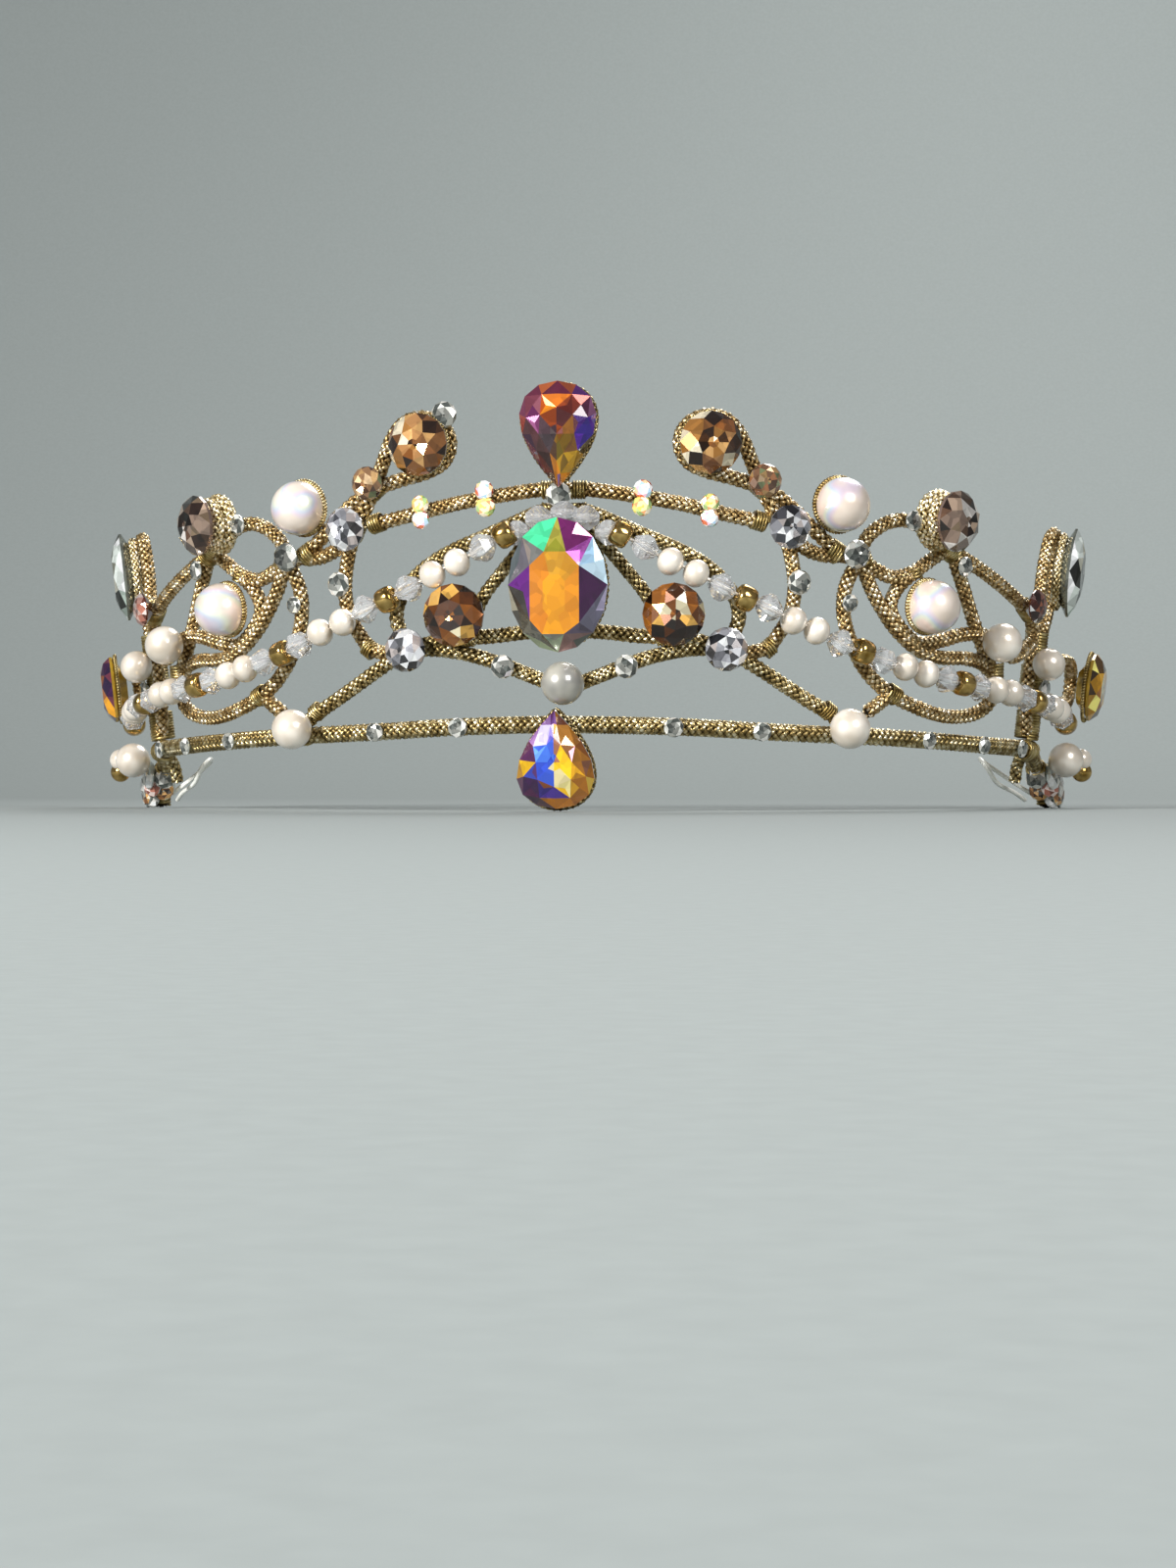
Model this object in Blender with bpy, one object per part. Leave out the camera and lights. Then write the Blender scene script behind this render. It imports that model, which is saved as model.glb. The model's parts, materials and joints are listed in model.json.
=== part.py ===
"""A ballet tiara of gold braided cord over wire, with set stones, pearls and a draped string of beads."""

import math

import bmesh
import bpy
from mathutils import Matrix, Vector

MM = 0.001
GAP = 0.3  # clear space between two pieces that touch on the real tiara

# The crown surface that every cord lies on: an oval wall that flares outwards as it rises.
# A place on it is (angle from the front in degrees, height over the band in mm, mm out of the surface).
HALF_WIDTH = 68.0
HALF_DEPTH = 66.0
FLARE = 0.12
LEAN = math.radians(2.5)  # the tiara stands on its front drop and two end legs, and so leans back
LEG_FOOT = (86.5, 0.9)  # angle and outward offset of each leg's foot

# Cord thickness, as a radius.
BAND = 1.3
CORD = 1.1
FINE = 1.0
LEG = 1.75
STEM = 0.85
NYLON = 0.35
CORD_SIDES = 6
BAND_SIDES = 8
BAND_STEP = 6.6  # distance between two rings along the band
CORD_STEP = 4.4  # the same along the other cords
LOOP_STEP = 3.2  # and on the tight loops

# Stones and pearls, as diameters or as (width, height).
ROUND_STONE = 8.4
HUB_CRYSTAL = 5.9
BROWN_STONE = 4.6
FORK_CRYSTAL = 4.0
COPPER_STONE = 4.8
PEAR = (10.2, 14.0)
DROP_PEAR = (10.4, 13.2)
OVAL = (13.2, 17.8)
END_OVAL = (7.6, 10.2)
NAVETTE = (6.4, 13.0)
CABOCHON = 7.4
PEARL = 5.5
END_PEARL = 4.7
CHIP = 2.7  # the small flat-backed crystals glued along the cords

# One string of beads: the repeat, and each bead's length and radius along the string.
STRING_REPEAT = ("gold", "crystal", "pearl", "pearl", "crystal")
STRING_BEADS = 24
THREAD = 0.45
BEADS = {
    # name: (length, profile as (share of the length, radius) rows)
    "pearl": (3.6, ((0.16, 1.4), (0.5, 1.8), (0.84, 1.4))),
    "crystal": (3.8, ((0.32, 1.75), (0.68, 1.75))),
    "gold": (3.0, ((0.14, 1.6), (0.86, 1.6))),
}
STRING_ROUTE = (
    (4.9, 26.3, 3.4), (9.5, 22.9, 3.4), (13.5, 20.6, 3.4), (17.8, 18.0, 3.4), (26.0, 13.9, 3.4),
    (33.0, 10.7, 3.4), (40.6, 8.5, 3.4), (48.6, 7.2, 3.4), (56.0, 6.6, 3.4), (64.0, 5.8, 3.3),
    (72.0, 5.1, 2.8), (79.5, 3.4, 2.6),
)  # fmt: skip

# Cords that cross the middle: the right half, which is mirrored to the left.
BAND_ROUTE = (
    (0.0, 0.2, 0.0), (12.0, 0.0, 0.0), (24.0, -0.5, 0.0), (36.0, -0.7, 0.0), (48.0, -0.9, 0.0),
    (58.0, -1.0, 0.0), (68.0, -1.0, -0.3), (75.0, -1.6, -1.2), (80.5, -3.0, -1.4),
    (84.5, -5.2, -0.4),
)  # fmt: skip
TOP_ARCH = (
    (0.0, 31.2, 0.0), (3.0, 31.2, 0.0), (8.4, 30.3, 0.0), (12.0, 29.6, 0.0), (15.6, 28.7, 0.0),
    (19.0, 27.9, 0.0), (21.4, 27.4, 0.0),
)  # fmt: skip
INNER_ARCH = (
    (0.0, 28.5, 0.0), (2.4, 28.4, 0.0), (5.6, 26.8, 0.0), (8.7, 25.2, 0.0), (12.0, 23.6, 0.0),
    (14.9, 21.8, 0.0), (17.4, 19.4, 0.0), (19.0, 16.6, 0.0), (19.2, 13.8, 0.0), (17.8, 11.0, 0.0),
)  # fmt: skip
LOW_ARCH = (
    (0.0, 12.6, 0.0), (4.0, 12.5, 0.0), (8.0, 12.0, 0.0), (12.0, 11.8, 0.0), (15.0, 11.4, 0.0),
    (18.0, 10.2, 0.0), (21.0, 8.5, 0.0), (25.0, 5.8, 0.0), (28.5, 3.6, 0.0), (30.8, 2.5, 0.0),
)  # fmt: skip
VEE = (
    (0.0, 5.1, 0.0), (3.0, 6.3, 0.0), (7.0, 8.2, 0.0), (10.4, 9.5, 0.0), (13.9, 10.3, 0.0),
    (17.4, 10.5, 0.0),
)  # fmt: skip

# Cords of one side, given for the right.
INNER_LEG = ((1.6, 28.2, 0.0), (4.8, 23.4, 0.0), (6.9, 20.4, 0.0), (9.0, 17.2, 0.0), (11.0, 12.4, 0.0))
SCROLL_CORDS = {
    "crest_loop": (
        (21.2, 32.4, 0.0), (20.1, 35.2, 0.0), (18.9, 38.4, 0.0), (17.5, 40.8, 0.0), (15.2, 41.7, 0.0),
        (12.8, 40.4, 0.0), (11.9, 37.6, 0.0), (12.8, 34.8, 0.0), (15.1, 33.4, 0.0), (18.0, 32.9, 0.0),
        (20.8, 32.2, 0.0),
    ),
    "crest_to_fork": ((21.0, 32.4, 0.0), (24.4, 29.9, 0.0), (27.2, 27.1, 0.0), (30.4, 24.2, 0.0)),
    "crest_to_hub": ((21.2, 32.2, 0.0), (22.2, 30.0, 0.0), (23.2, 28.2, 0.0), (24.1, 26.6, 0.0)),
    "hub_to_fork": ((23.9, 26.8, 0.0), (26.3, 24.4, 0.0), (28.6, 23.4, 0.0), (30.6, 23.4, 0.0)),
    "post": (
        (24.1, 26.4, 0.0), (25.2, 22.4, 0.0), (25.7, 18.6, 0.0), (25.2, 15.0, 0.0), (23.8, 12.2, 0.0),
        (22.8, 10.6, 0.0),
    ),
}  # fmt: skip
FRAME_CORDS = {
    "small_loop_over": (
        (33.4, 23.8, 0.0), (34.6, 26.4, 0.0), (37.0, 28.3, 0.0), (39.8, 28.8, 0.0), (42.7, 27.6, 0.0),
        (46.0, 25.5, 0.0),
    ),
    "small_loop_under": (
        (33.4, 23.5, 0.0), (35.2, 22.2, 0.0), (38.2, 21.0, 0.0), (41.3, 22.0, 0.0), (43.7, 23.8, 0.0),
        (46.3, 25.6, 0.0),
    ),
    "wing_leg_and_low_loop": (
        (46.6, 25.8, 0.0), (49.2, 21.0, 0.0), (51.6, 16.6, 0.0), (54.2, 12.6, 0.0), (56.6, 9.6, 0.0),
        (57.6, 6.8, 0.0), (56.2, 4.4, 0.0), (53.0, 3.0, 0.0), (48.5, 2.6, 0.0), (44.0, 3.4, 0.0),
        (39.2, 5.2, 0.0), (35.8, 7.8, 0.0), (33.4, 11.4, 0.0), (32.0, 15.4, 0.0), (32.0, 19.3, 0.0),
        (33.5, 23.2, 0.0),
    ),
    "fork_to_wing": (
        (33.6, 23.2, 0.0), (35.8, 18.6, 0.0), (39.1, 14.2, 0.0), (43.0, 11.4, 0.0), (46.8, 10.6, 0.0),
        (51.0, 10.8, 0.0), (54.8, 10.2, 0.0), (57.2, 8.4, 0.0),
    ),
    "cabochon_loop": (
        (41.3, 21.8, 0.0), (39.2, 19.8, 0.0), (38.2, 17.2, 0.0), (39.4, 14.8, 0.0), (42.6, 12.4, 0.0),
        (46.4, 12.9, 0.0), (50.0, 14.0, 0.0), (54.0, 14.3, 0.0), (57.0, 14.2, 0.0),
    ),
    "wing_to_copper": ((46.8, 25.4, 0.0), (52.4, 23.2, 0.0), (58.0, 21.0, 0.0), (64.0, 18.8, -0.1)),
    "foot_strut": ((39.2, 5.2, 0.0), (37.4, 3.6, 0.0), (36.0, 2.6, 0.0)),
    "end_loop": (
        (67.5, 17.6, -0.6), (70.6, 21.6, -1.3), (71.8, 25.6, -1.6), (72.8, 29.2, -1.6),
        (75.0, 30.8, -1.6), (77.2, 29.2, -1.6), (77.9, 25.6, -1.6), (76.4, 21.6, -1.4),
        (73.4, 17.8, -1.0), (71.6, 14.6, -0.9), (71.4, 10.6, -0.9), (71.6, 6.6, -0.9),
        (73.4, 1.2, -1.2),
    ),
    "end_post": (
        (63.6, 18.9, -0.1), (66.6, 17.4, -0.5), (68.3, 14.4, -0.7), (68.6, 9.6, -0.8),
        (68.8, 4.8, -0.7), (69.4, 1.3, -0.5),
    ),
    "end_stone_loop": (
        (71.4, 11.2, -0.9), (75.0, 12.2, 0.0), (79.0, 12.8, 0.9), (83.0, 12.8, 1.5), (86.4, 11.3, 1.8),
        (86.4, 8.3, 1.8), (83.0, 6.7, 1.4), (79.0, 6.6, 0.7), (75.0, 6.8, -0.2), (71.6, 6.8, -0.9),
    ),
}  # fmt: skip
BAND_TAIL = ((70.5, -1.3, -0.8), (72.0, -3.2, -2.2), (73.0, -5.6, -2.6))
PEAR_STEM = ((0.0, 31.2, 0.0), (0.0, 34.0, 0.3), (0.0, 38.0, 0.3), (0.0, 41.0, 0.2))
PIN_LOOP = (
    (83.4, -7.0, -1.7), (79.5, -5.2, -5.2), (74.5, -3.4, -7.8), (70.5, -3.0, -7.4), (69.4, -4.2, -5.8),
    (72.4, -6.2, -5.0), (78.0, -7.2, -3.6), (82.0, -8.0, -2.6),
)  # fmt: skip

RIM = 0.7  # radius of the cord rims
RIM_RISE = 0.75  # from a stone's flat back to its rim
RIM_SHARE = 0.91  # the rim's size against the stone's
DROP_SAG = 0.35  # how far the hanging pear's rim sits below and behind the others' place
CENTRE_PEARL_HEIGHT = 6.1
DROP_REACH = 11.293  # how far the hanging pear's rim reaches below the band's plane

# Rows of (angle, height, outward offset of the flat back or centre, turn, tilt, spin) in degrees.
TOP_PEAR_PLACE = (-0.3, 38.4, CORD + GAP, 0, 0, 0)
OVAL_PLACE = (-0.4, 18.8, CORD + GAP, 0, 0, 0)
DROP_PEAR_PLACE = (-0.8, -3.9, BAND + GAP, 0, 5, 0)
STONE_PLACES = {
    "crest_stone": (15.1, 37.6, 0.1, 0, 0, 0),
    "crest_brown_stone": (21.0, 32.8, CORD + GAP, 0, 0, 10),
    "hub_crystal": (23.9, 26.9, CORD + GAP, 0, 0, 0),
    "fork_crystal": (32.0, 23.7, CORD + GAP, 0, 0, 0),
    "wing_stone": (43.6, 29.2, 2.1, 8, 0, 0),
    "copper_stone": (62.0, 19.2, CORD + GAP, 0, 0, 0),
    "end_navette": (75.0, 25.4, -0.3, 2, 0, 0),
    "end_oval": (83.4, 9.7, 3.2, -6, 0, -8),
    "amber_stone": (11.5, 15.0, CORD + GAP, 0, 0, 0),
    "low_crystal": (17.4, 10.5, CORD + GAP, 0, 0, 12),
}
PEARL_PLACES = {
    "crest_cabochon": (30.2, 30.2, 1.9, CABOCHON),
    "wing_cabochon": (42.6, 17.4, 2.75, CABOCHON),
    "wing_pearl": (53.2, 13.4, 4.2, PEARL),
    "end_pearl": (67.0, 11.4, 2.75, END_PEARL),
    "band_pearl": (31.6, 0.5, 4.4, PEARL),
    "leg_pearl": (78.4, -1.6, 3.3, 5.2),
}
# Small crystals fused to the cord that carries them: (node, angle, height, outward offset of the cord).
CHIP_PLACES = (
    ("base_band", 12.0, 0.0, 0.0), ("base_band", 22.1, -0.4, 0.0), ("base_band", 44.6, -0.8, 0.0),
    ("base_band", 54.6, -1.0, 0.0), ("base_band", 64.0, -1.0, -0.1),
    ("top_arch", 8.4, 30.3, 0.0), ("top_arch", 15.6, 28.7, 0.0),
    ("centre_lattice", 6.7, 8.0, 0.0),
    ("scroll", 25.6, 19.6, 0.0),
    ("side_frame", 32.0, 17.2, 0.0), ("side_frame", 39.6, 28.8, 0.0), ("side_frame", 48.0, 23.3, 0.0),
    ("side_frame", 69.6, 9.2, -0.8),
)  # fmt: skip
LEG_CHIPS = ((0.06, 0.0), (0.32, 24.0), (0.5, -22.0), (0.74, 6.0))  # share of the leg, turn about it

COLOURS = {
    "gold_cord": ((0.62, 0.47, 0.24), 0.45, 0.7),
    "amber_glass": ((0.80, 0.36, 0.06), 0.05, 0.0),
    "topaz_glass": ((0.62, 0.40, 0.20), 0.05, 0.0),
    "smoke_glass": ((0.16, 0.15, 0.14), 0.05, 0.0),
    "clear_glass": ((0.86, 0.88, 0.90), 0.05, 0.0),
    "copper_glass": ((0.62, 0.26, 0.16), 0.05, 0.0),
    "pearl": ((0.90, 0.86, 0.78), 0.2, 0.0),
    "nylon": ((0.90, 0.90, 0.86), 0.2, 0.0),
}


def on_crown(angle, height, out=0.0):
    """The point at a place on the crown, in millimetres."""
    turn = math.radians(angle)
    wide = HALF_WIDTH + FLARE * height
    deep = HALF_DEPTH + FLARE * height
    point = Vector((wide * math.sin(turn), HALF_DEPTH - deep * math.cos(turn), height))
    return point + out * crown_axes(angle, height)[2]


def crown_axes(angle, height):
    """Unit vectors at a place: along the crown, up it, and out of it."""
    turn = math.radians(angle)
    wide = HALF_WIDTH + FLARE * height
    deep = HALF_DEPTH + FLARE * height
    along = Vector((wide * math.cos(turn), deep * math.sin(turn), 0.0)).normalized()
    rise = Vector((FLARE * math.sin(turn), -FLARE * math.cos(turn), 1.0))
    out = along.cross(rise).normalized()
    return along, out.cross(along), out


def placing(angle, height, out, turn=0.0, tilt=0.0, spin=0.0):
    """Matrix in metres that seats a piece, whose face looks along its own +Z, on the crown."""
    along, rise, outward = crown_axes(angle, height)
    axes = Matrix((along, rise, outward)).transposed().to_4x4()
    local = (
        Matrix.Rotation(math.radians(turn), 4, "Y")
        @ Matrix.Rotation(math.radians(tilt), 4, "X")
        @ Matrix.Rotation(math.radians(spin), 4, "Z")
    )
    return Matrix.Translation(on_crown(angle, height, out) * MM) @ axes @ local


def mirrored(route):
    """The left-hand copy of a right-hand route."""
    return [(-angle, height, out) for angle, height, out in route]


def both_ways(route):
    """A route from the left end over the middle to the right end."""
    return mirrored(route[:0:-1]) + list(route)


def smooth(points, step):
    """Points about one step apart on a smooth curve through the given ones."""
    ends = [2 * points[0] - points[1], *points, 2 * points[-1] - points[-2]]
    made = []
    for before, start, end, after in zip(ends, ends[1:], ends[2:], ends[3:]):
        pieces = max(1, round((end - start).length / step))
        for i in range(pieces):
            t = i / pieces
            made.append(
                0.5
                * (
                    2 * start
                    + (end - before) * t
                    + (2 * before - 5 * start + 4 * end - after) * t * t
                    + (3 * start - before - 3 * end + after) * t * t * t
                )
            )
    return [*made, points[-1]]


def material(name):
    """The plain finish of this name, made once."""
    found = bpy.data.materials.get(name)
    if found:
        return found
    colour, roughness, metallic = COLOURS[name]
    made = bpy.data.materials.new(name)
    made.use_nodes = True
    shader = made.node_tree.nodes["Principled BSDF"]
    shader.inputs["Base Color"].default_value = (*colour, 1.0)
    shader.inputs["Roughness"].default_value = roughness
    shader.inputs["Metallic"].default_value = metallic
    made.diffuse_color = (*colour, 1.0)
    return made


def add_object(name, mesh, finish, place=None):
    """Puts a mesh in the scene under the tiara's empty."""
    made = bpy.data.objects.new(name, mesh)
    tiara.objects.link(made)
    made.parent = stand
    if place is not None:
        made.matrix_local = place
    mesh.materials.clear()
    mesh.materials.append(material(finish))
    return made


def tube_mesh(points, radii, sides, closed=False):
    """A closed tube mesh through points in millimetres, with one radius for each point."""
    curve = bpy.data.curves.new("tube", "CURVE")
    curve.dimensions = "3D"
    curve.bevel_depth = MM
    curve.bevel_resolution = sides // 2 - 2
    curve.use_fill_caps = not closed
    spline = curve.splines.new("POLY")
    spline.points.add(len(points) - 1)
    for target, point, radius in zip(spline.points, points, radii):
        target.co = (*(point * MM), 1.0)
        target.radius = radius
    spline.use_cyclic_u = closed
    holder = bpy.data.objects.new("tube", curve)
    bpy.context.scene.collection.objects.link(holder)
    graph = bpy.context.evaluated_depsgraph_get()
    mesh = bpy.data.meshes.new_from_object(holder.evaluated_get(graph))
    bpy.data.objects.remove(holder)
    bpy.data.curves.remove(curve)
    work = bmesh.new()
    work.from_mesh(mesh)
    bmesh.ops.remove_doubles(work, verts=work.verts, dist=1e-6)
    bmesh.ops.recalc_face_normals(work, faces=work.faces)
    work.to_mesh(mesh)
    work.free()
    mesh.shade_smooth()
    return mesh


def cord_mesh(route, radius, step=CORD_STEP):
    """A cord of one thickness along a route on the crown."""
    points = smooth([on_crown(*place) for place in route], step)
    return tube_mesh(points, [radius] * len(points), CORD_SIDES)


def hull_mesh(points):
    """The faceted solid that closes round a set of points."""
    work = bmesh.new()
    for point in points:
        work.verts.new(point)
    made = bmesh.ops.convex_hull(work, input=work.verts)
    left_over = made["geom_interior"] + made["geom_unused"]
    spare = [item for item in left_over if isinstance(item, bmesh.types.BMVert)]
    bmesh.ops.delete(work, geom=spare, context="VERTS")
    bmesh.ops.recalc_face_normals(work, faces=work.faces)
    mesh = bpy.data.meshes.new("stone")
    work.to_mesh(mesh)
    work.free()
    return mesh


def oval_outline(width, height, count, shift=0.0):
    """Points round an oval, counted from its right."""
    turns = [2 * math.pi * (i + shift) / count for i in range(count)]
    return [(width / 2 * math.cos(t), height / 2 * math.sin(t)) for t in turns]


def pear_outline(width, height, count, shift=0.0):
    """Points round a pear whose tip is at the top."""
    turns = [2 * math.pi * (i + shift) / count for i in range(count)]
    return [(0.65 * width * math.sin(t) * abs(math.sin(t / 2)), height / 2 * math.cos(t)) for t in turns]


def upturned_pear(width, height, count, shift=0.0):
    """The pear outline with its tip at the bottom."""
    return [(x, -y) for x, y in pear_outline(width, height, count, shift)]


def navette_outline(width, height, count, shift=0.0):
    """Points round a boat shape with a tip at each end, from two arcs."""
    radius = (height * height + width * width) / (4 * width)
    made = []
    for i in range(count):
        turn = 2 * math.pi * (i + shift) / count
        y = height / 2 * math.cos(turn)
        reach = math.sqrt(radius * radius - y * y) - (radius - width / 2)
        made.append((math.copysign(reach, math.sin(turn)), y))
    return made


def stone_mesh(outline, size, facets, depth):
    """A cut stone in its cup: flat back at z 0, tapering cup, girdle, crown facets and a table."""
    width, height = size
    girdle = outline(width, height, 2 * facets)
    table = outline(0.58 * width, 0.58 * height, facets, 0.5)
    back = outline(0.5 * width, 0.5 * height, facets)
    rings = ((back, 0.0), (girdle, 0.55 * depth), (girdle, 0.64 * depth), (table, depth))
    return hull_mesh([(x * MM, y * MM, z * MM) for ring, z in rings for x, y in ring])


def chip_mesh():
    """A small flat-backed crystal, with its foot sunk in the cord."""
    rings = ((1.0, -0.5), (1.0, 0.3), (0.55, 0.9))
    points = []
    for share, z in rings:
        points += [(share * x, share * y, z) for x, y in oval_outline(CHIP, CHIP, 6)]
    return hull_mesh([(x * MM, y * MM, z * MM) for x, y, z in points])


def pearl_mesh(diameter):
    """A round pearl."""
    work = bmesh.new()
    bmesh.ops.create_uvsphere(work, u_segments=10, v_segments=6, radius=diameter / 2 * MM)
    mesh = bpy.data.meshes.new("pearl")
    work.to_mesh(mesh)
    work.free()
    mesh.shade_smooth()
    return mesh


def fused(name, pieces, finish):
    """One body from meshes that overlap, bound together as the thread binds the cords."""
    base = add_object(name, pieces[0], finish)
    helpers = []
    for mesh in pieces[1:]:
        helper = bpy.data.objects.new("helper", mesh)
        bpy.context.scene.collection.objects.link(helper)
        helper.parent = stand
        helpers.append(helper)
        union = base.modifiers.new("bind", "BOOLEAN")
        union.operation = "UNION"
        union.object = helper
    graph = bpy.context.evaluated_depsgraph_get()
    mesh = bpy.data.meshes.new_from_object(base.evaluated_get(graph))
    base.modifiers.clear()
    base.data = mesh
    mesh.materials.clear()
    mesh.materials.append(material(finish))
    for helper in helpers:
        bpy.data.objects.remove(helper)
    return base


def moved(mesh, place):
    """The mesh with a placing applied."""
    mesh.transform(place)
    return mesh


def chips(node, sign):
    """The small crystals of one node, on the right or the left."""
    radius = BAND if node == "base_band" else CORD
    places = [placing(sign * angle, height, out + radius - 0.2)
              for owner, angle, height, out in CHIP_PLACES if owner == node]  # fmt: skip
    return [moved(chip_mesh(), place) for place in places]


def one_side(route, sign):
    """A right-hand route, or its mirror where the sign is negative."""
    return list(route) if sign > 0 else mirrored(route)


def foot_place(sign):
    """Where a leg's foot ends: level with the front drop once the tiara leans back."""
    angle, out = LEG_FOOT
    height = -8.6
    for _ in range(8):
        point = on_crown(angle, height, out)
        height = (-DROP_REACH + point.y * math.sin(LEAN)) / math.cos(LEAN)
    return on_crown(sign * angle, height, out)


def base_band():
    """The band, thickened by its thread binding into a leg at each end, with its chips."""
    down = Vector((0.0, math.sin(LEAN), -math.cos(LEAN)))
    crown_part = smooth([on_crown(*place) for place in both_ways(BAND_ROUTE)], BAND_STEP)
    left_foot = foot_place(-1)
    right_foot = foot_place(1)
    points = [left_foot, left_foot - 1.6 * down, *crown_part, right_foot - 1.6 * down, right_foot]
    bound = HALF_WIDTH * math.sin(math.radians(73.0))
    radii = [LEG if abs(point.x) > bound else BAND for point in points]
    pieces = [tube_mesh(points, radii, BAND_SIDES)]
    for sign in (1, -1):
        pieces.append(cord_mesh(one_side(BAND_TAIL, sign), FINE))
        pieces += chips("base_band", sign)
        start = on_crown(sign * 80.5, -3.0, -1.4)
        foot = foot_place(sign)
        for share, turn in LEG_CHIPS:
            centre = start.lerp(foot, share)
            out = Matrix.Rotation(math.radians(turn), 3, "Z") @ crown_axes(sign * 86.0, 0.0)[2]
            out.z = 0.0
            out.normalize()
            up = Vector((0.0, 0.0, 1.0))
            axes = Matrix((up.cross(out), up, out)).transposed().to_4x4()
            place = Matrix.Translation((centre + out * (LEG - 0.2)) * MM) @ axes
            pieces.append(moved(chip_mesh(), place))
    fused("base_band", pieces, "gold_cord")


def centre_lattice():
    """The cords behind the middle stones: two arches, the V and two slanting legs."""
    pieces = [cord_mesh(both_ways(route), CORD) for route in (LOW_ARCH, VEE, INNER_ARCH)]
    for sign in (1, -1):
        pieces.append(cord_mesh(one_side(INNER_LEG, sign), FINE))
        pieces += chips("centre_lattice", sign)
    fused("centre_lattice", pieces, "gold_cord")


def top_arch():
    """The high arch, with the stem that carries the top pear."""
    pieces = [cord_mesh(both_ways(TOP_ARCH), CORD), cord_mesh(PEAR_STEM, STEM)]
    for sign in (1, -1):
        pieces += chips("top_arch", sign)
    fused("top_arch", pieces, "gold_cord")


def scroll(side, sign):
    """The looped crest and the cords that spring from it, bound at three places."""
    pieces = [cord_mesh(one_side(route, sign), CORD, LOOP_STEP) for route in SCROLL_CORDS.values()]
    fused(f"scroll_{side}", pieces + chips("scroll", sign), "gold_cord")


def side_frame(side, sign):
    """The lattice of loops from the fork to the end post, with the ring under the wing stone."""
    pieces = [cord_mesh(one_side(route, sign), CORD, CORD_STEP) for route in FRAME_CORDS.values()]
    angle, height, back, turn, tilt, spin = STONE_PLACES["wing_stone"]
    ring = [Vector((x, y, 0.0)) * MM for x, y in oval_outline(6.6, 6.6, 10)]
    place = placing(sign * angle, height, back - CORD - GAP, sign * turn, tilt, spin)
    round_cup = [(place @ point) / MM for point in ring]
    pieces.append(tube_mesh(round_cup, [CORD] * len(round_cup), CORD_SIDES, closed=True))
    fused(f"side_frame_{side}", pieces + chips("side_frame", sign), "gold_cord")


def bead_string(side, sign):
    """The draped string: one turned body whose profile swells at each bead."""
    track = smooth([on_crown(*place) for place in one_side(STRING_ROUTE, sign)], 0.5)
    reach = [0.0]
    for before, after in zip(track, track[1:]):
        reach.append(reach[-1] + (after - before).length)

    def along(distance):
        for i in range(1, len(track)):
            if reach[i] >= distance:
                share = (distance - reach[i - 1]) / (reach[i] - reach[i - 1])
                return track[i - 1].lerp(track[i], share)
        return track[-1]

    names = [STRING_REPEAT[i % len(STRING_REPEAT)] for i in range(STRING_BEADS)]
    stretch = reach[-1] / sum(BEADS[name][0] for name in names)
    points = [along(0.0)]
    radii = [THREAD]
    start = 0.0
    for name in names:
        length, profile = BEADS[name]
        for share, radius in profile:
            points.append(along(start + share * length * stretch))
            radii.append(radius)
        start += length * stretch
        points.append(along(start))
        radii.append(THREAD)
    add_object(f"bead_string_{side}", tube_mesh(points, radii, 10), "pearl")


def pin_loop(side, sign):
    """The clear nylon loop at the inside of a leg, which a hairpin goes through."""
    points = smooth([on_crown(*place) for place in one_side(PIN_LOOP, sign)], LOOP_STEP)
    add_object(f"pin_loop_{side}", tube_mesh(points, [NYLON] * len(points), 6), "nylon")


def rim(name, outline, size, place, sag=0.0):
    """The cord rim that grips a big stone just behind its girdle."""
    width, height = size
    angle, up, out, *turns = place
    plane = placing(angle, up, out + RIM_RISE - sag, *turns)
    ring = outline(RIM_SHARE * width, RIM_SHARE * height, 16)
    points = [(plane @ Vector((x * MM, (y - sag) * MM, 0.0))) / MM for x, y in ring]
    add_object(name, tube_mesh(points, [RIM] * len(points), CORD_SIDES, closed=True), "gold_cord")


def centre_stones():
    """The top pear, the big oval and the hanging pear, each with its cord rim, and the middle pearl."""
    cuts = (
        ("top_pear", upturned_pear, PEAR, 5.0, "amber_glass", TOP_PEAR_PLACE),
        ("centre_oval", oval_outline, OVAL, 5.6, "clear_glass", OVAL_PLACE),
        ("drop_pear", pear_outline, DROP_PEAR, 5.0, "amber_glass", DROP_PEAR_PLACE),
    )
    for name, outline, size, depth, finish, place in cuts:
        add_object(name, stone_mesh(outline, size, 8, depth), finish, placing(*place))
    rim("top_pear_rim", upturned_pear, PEAR, TOP_PEAR_PLACE)
    rim("centre_oval_rim", oval_outline, OVAL, OVAL_PLACE)
    rim("drop_pear_rim", pear_outline, PEAR, DROP_PEAR_PLACE, DROP_SAG)
    place = placing(0.0, CENTRE_PEARL_HEIGHT, CORD + GAP + PEARL / 2)
    add_object("centre_pearl", pearl_mesh(PEARL), "pearl", place)


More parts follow.
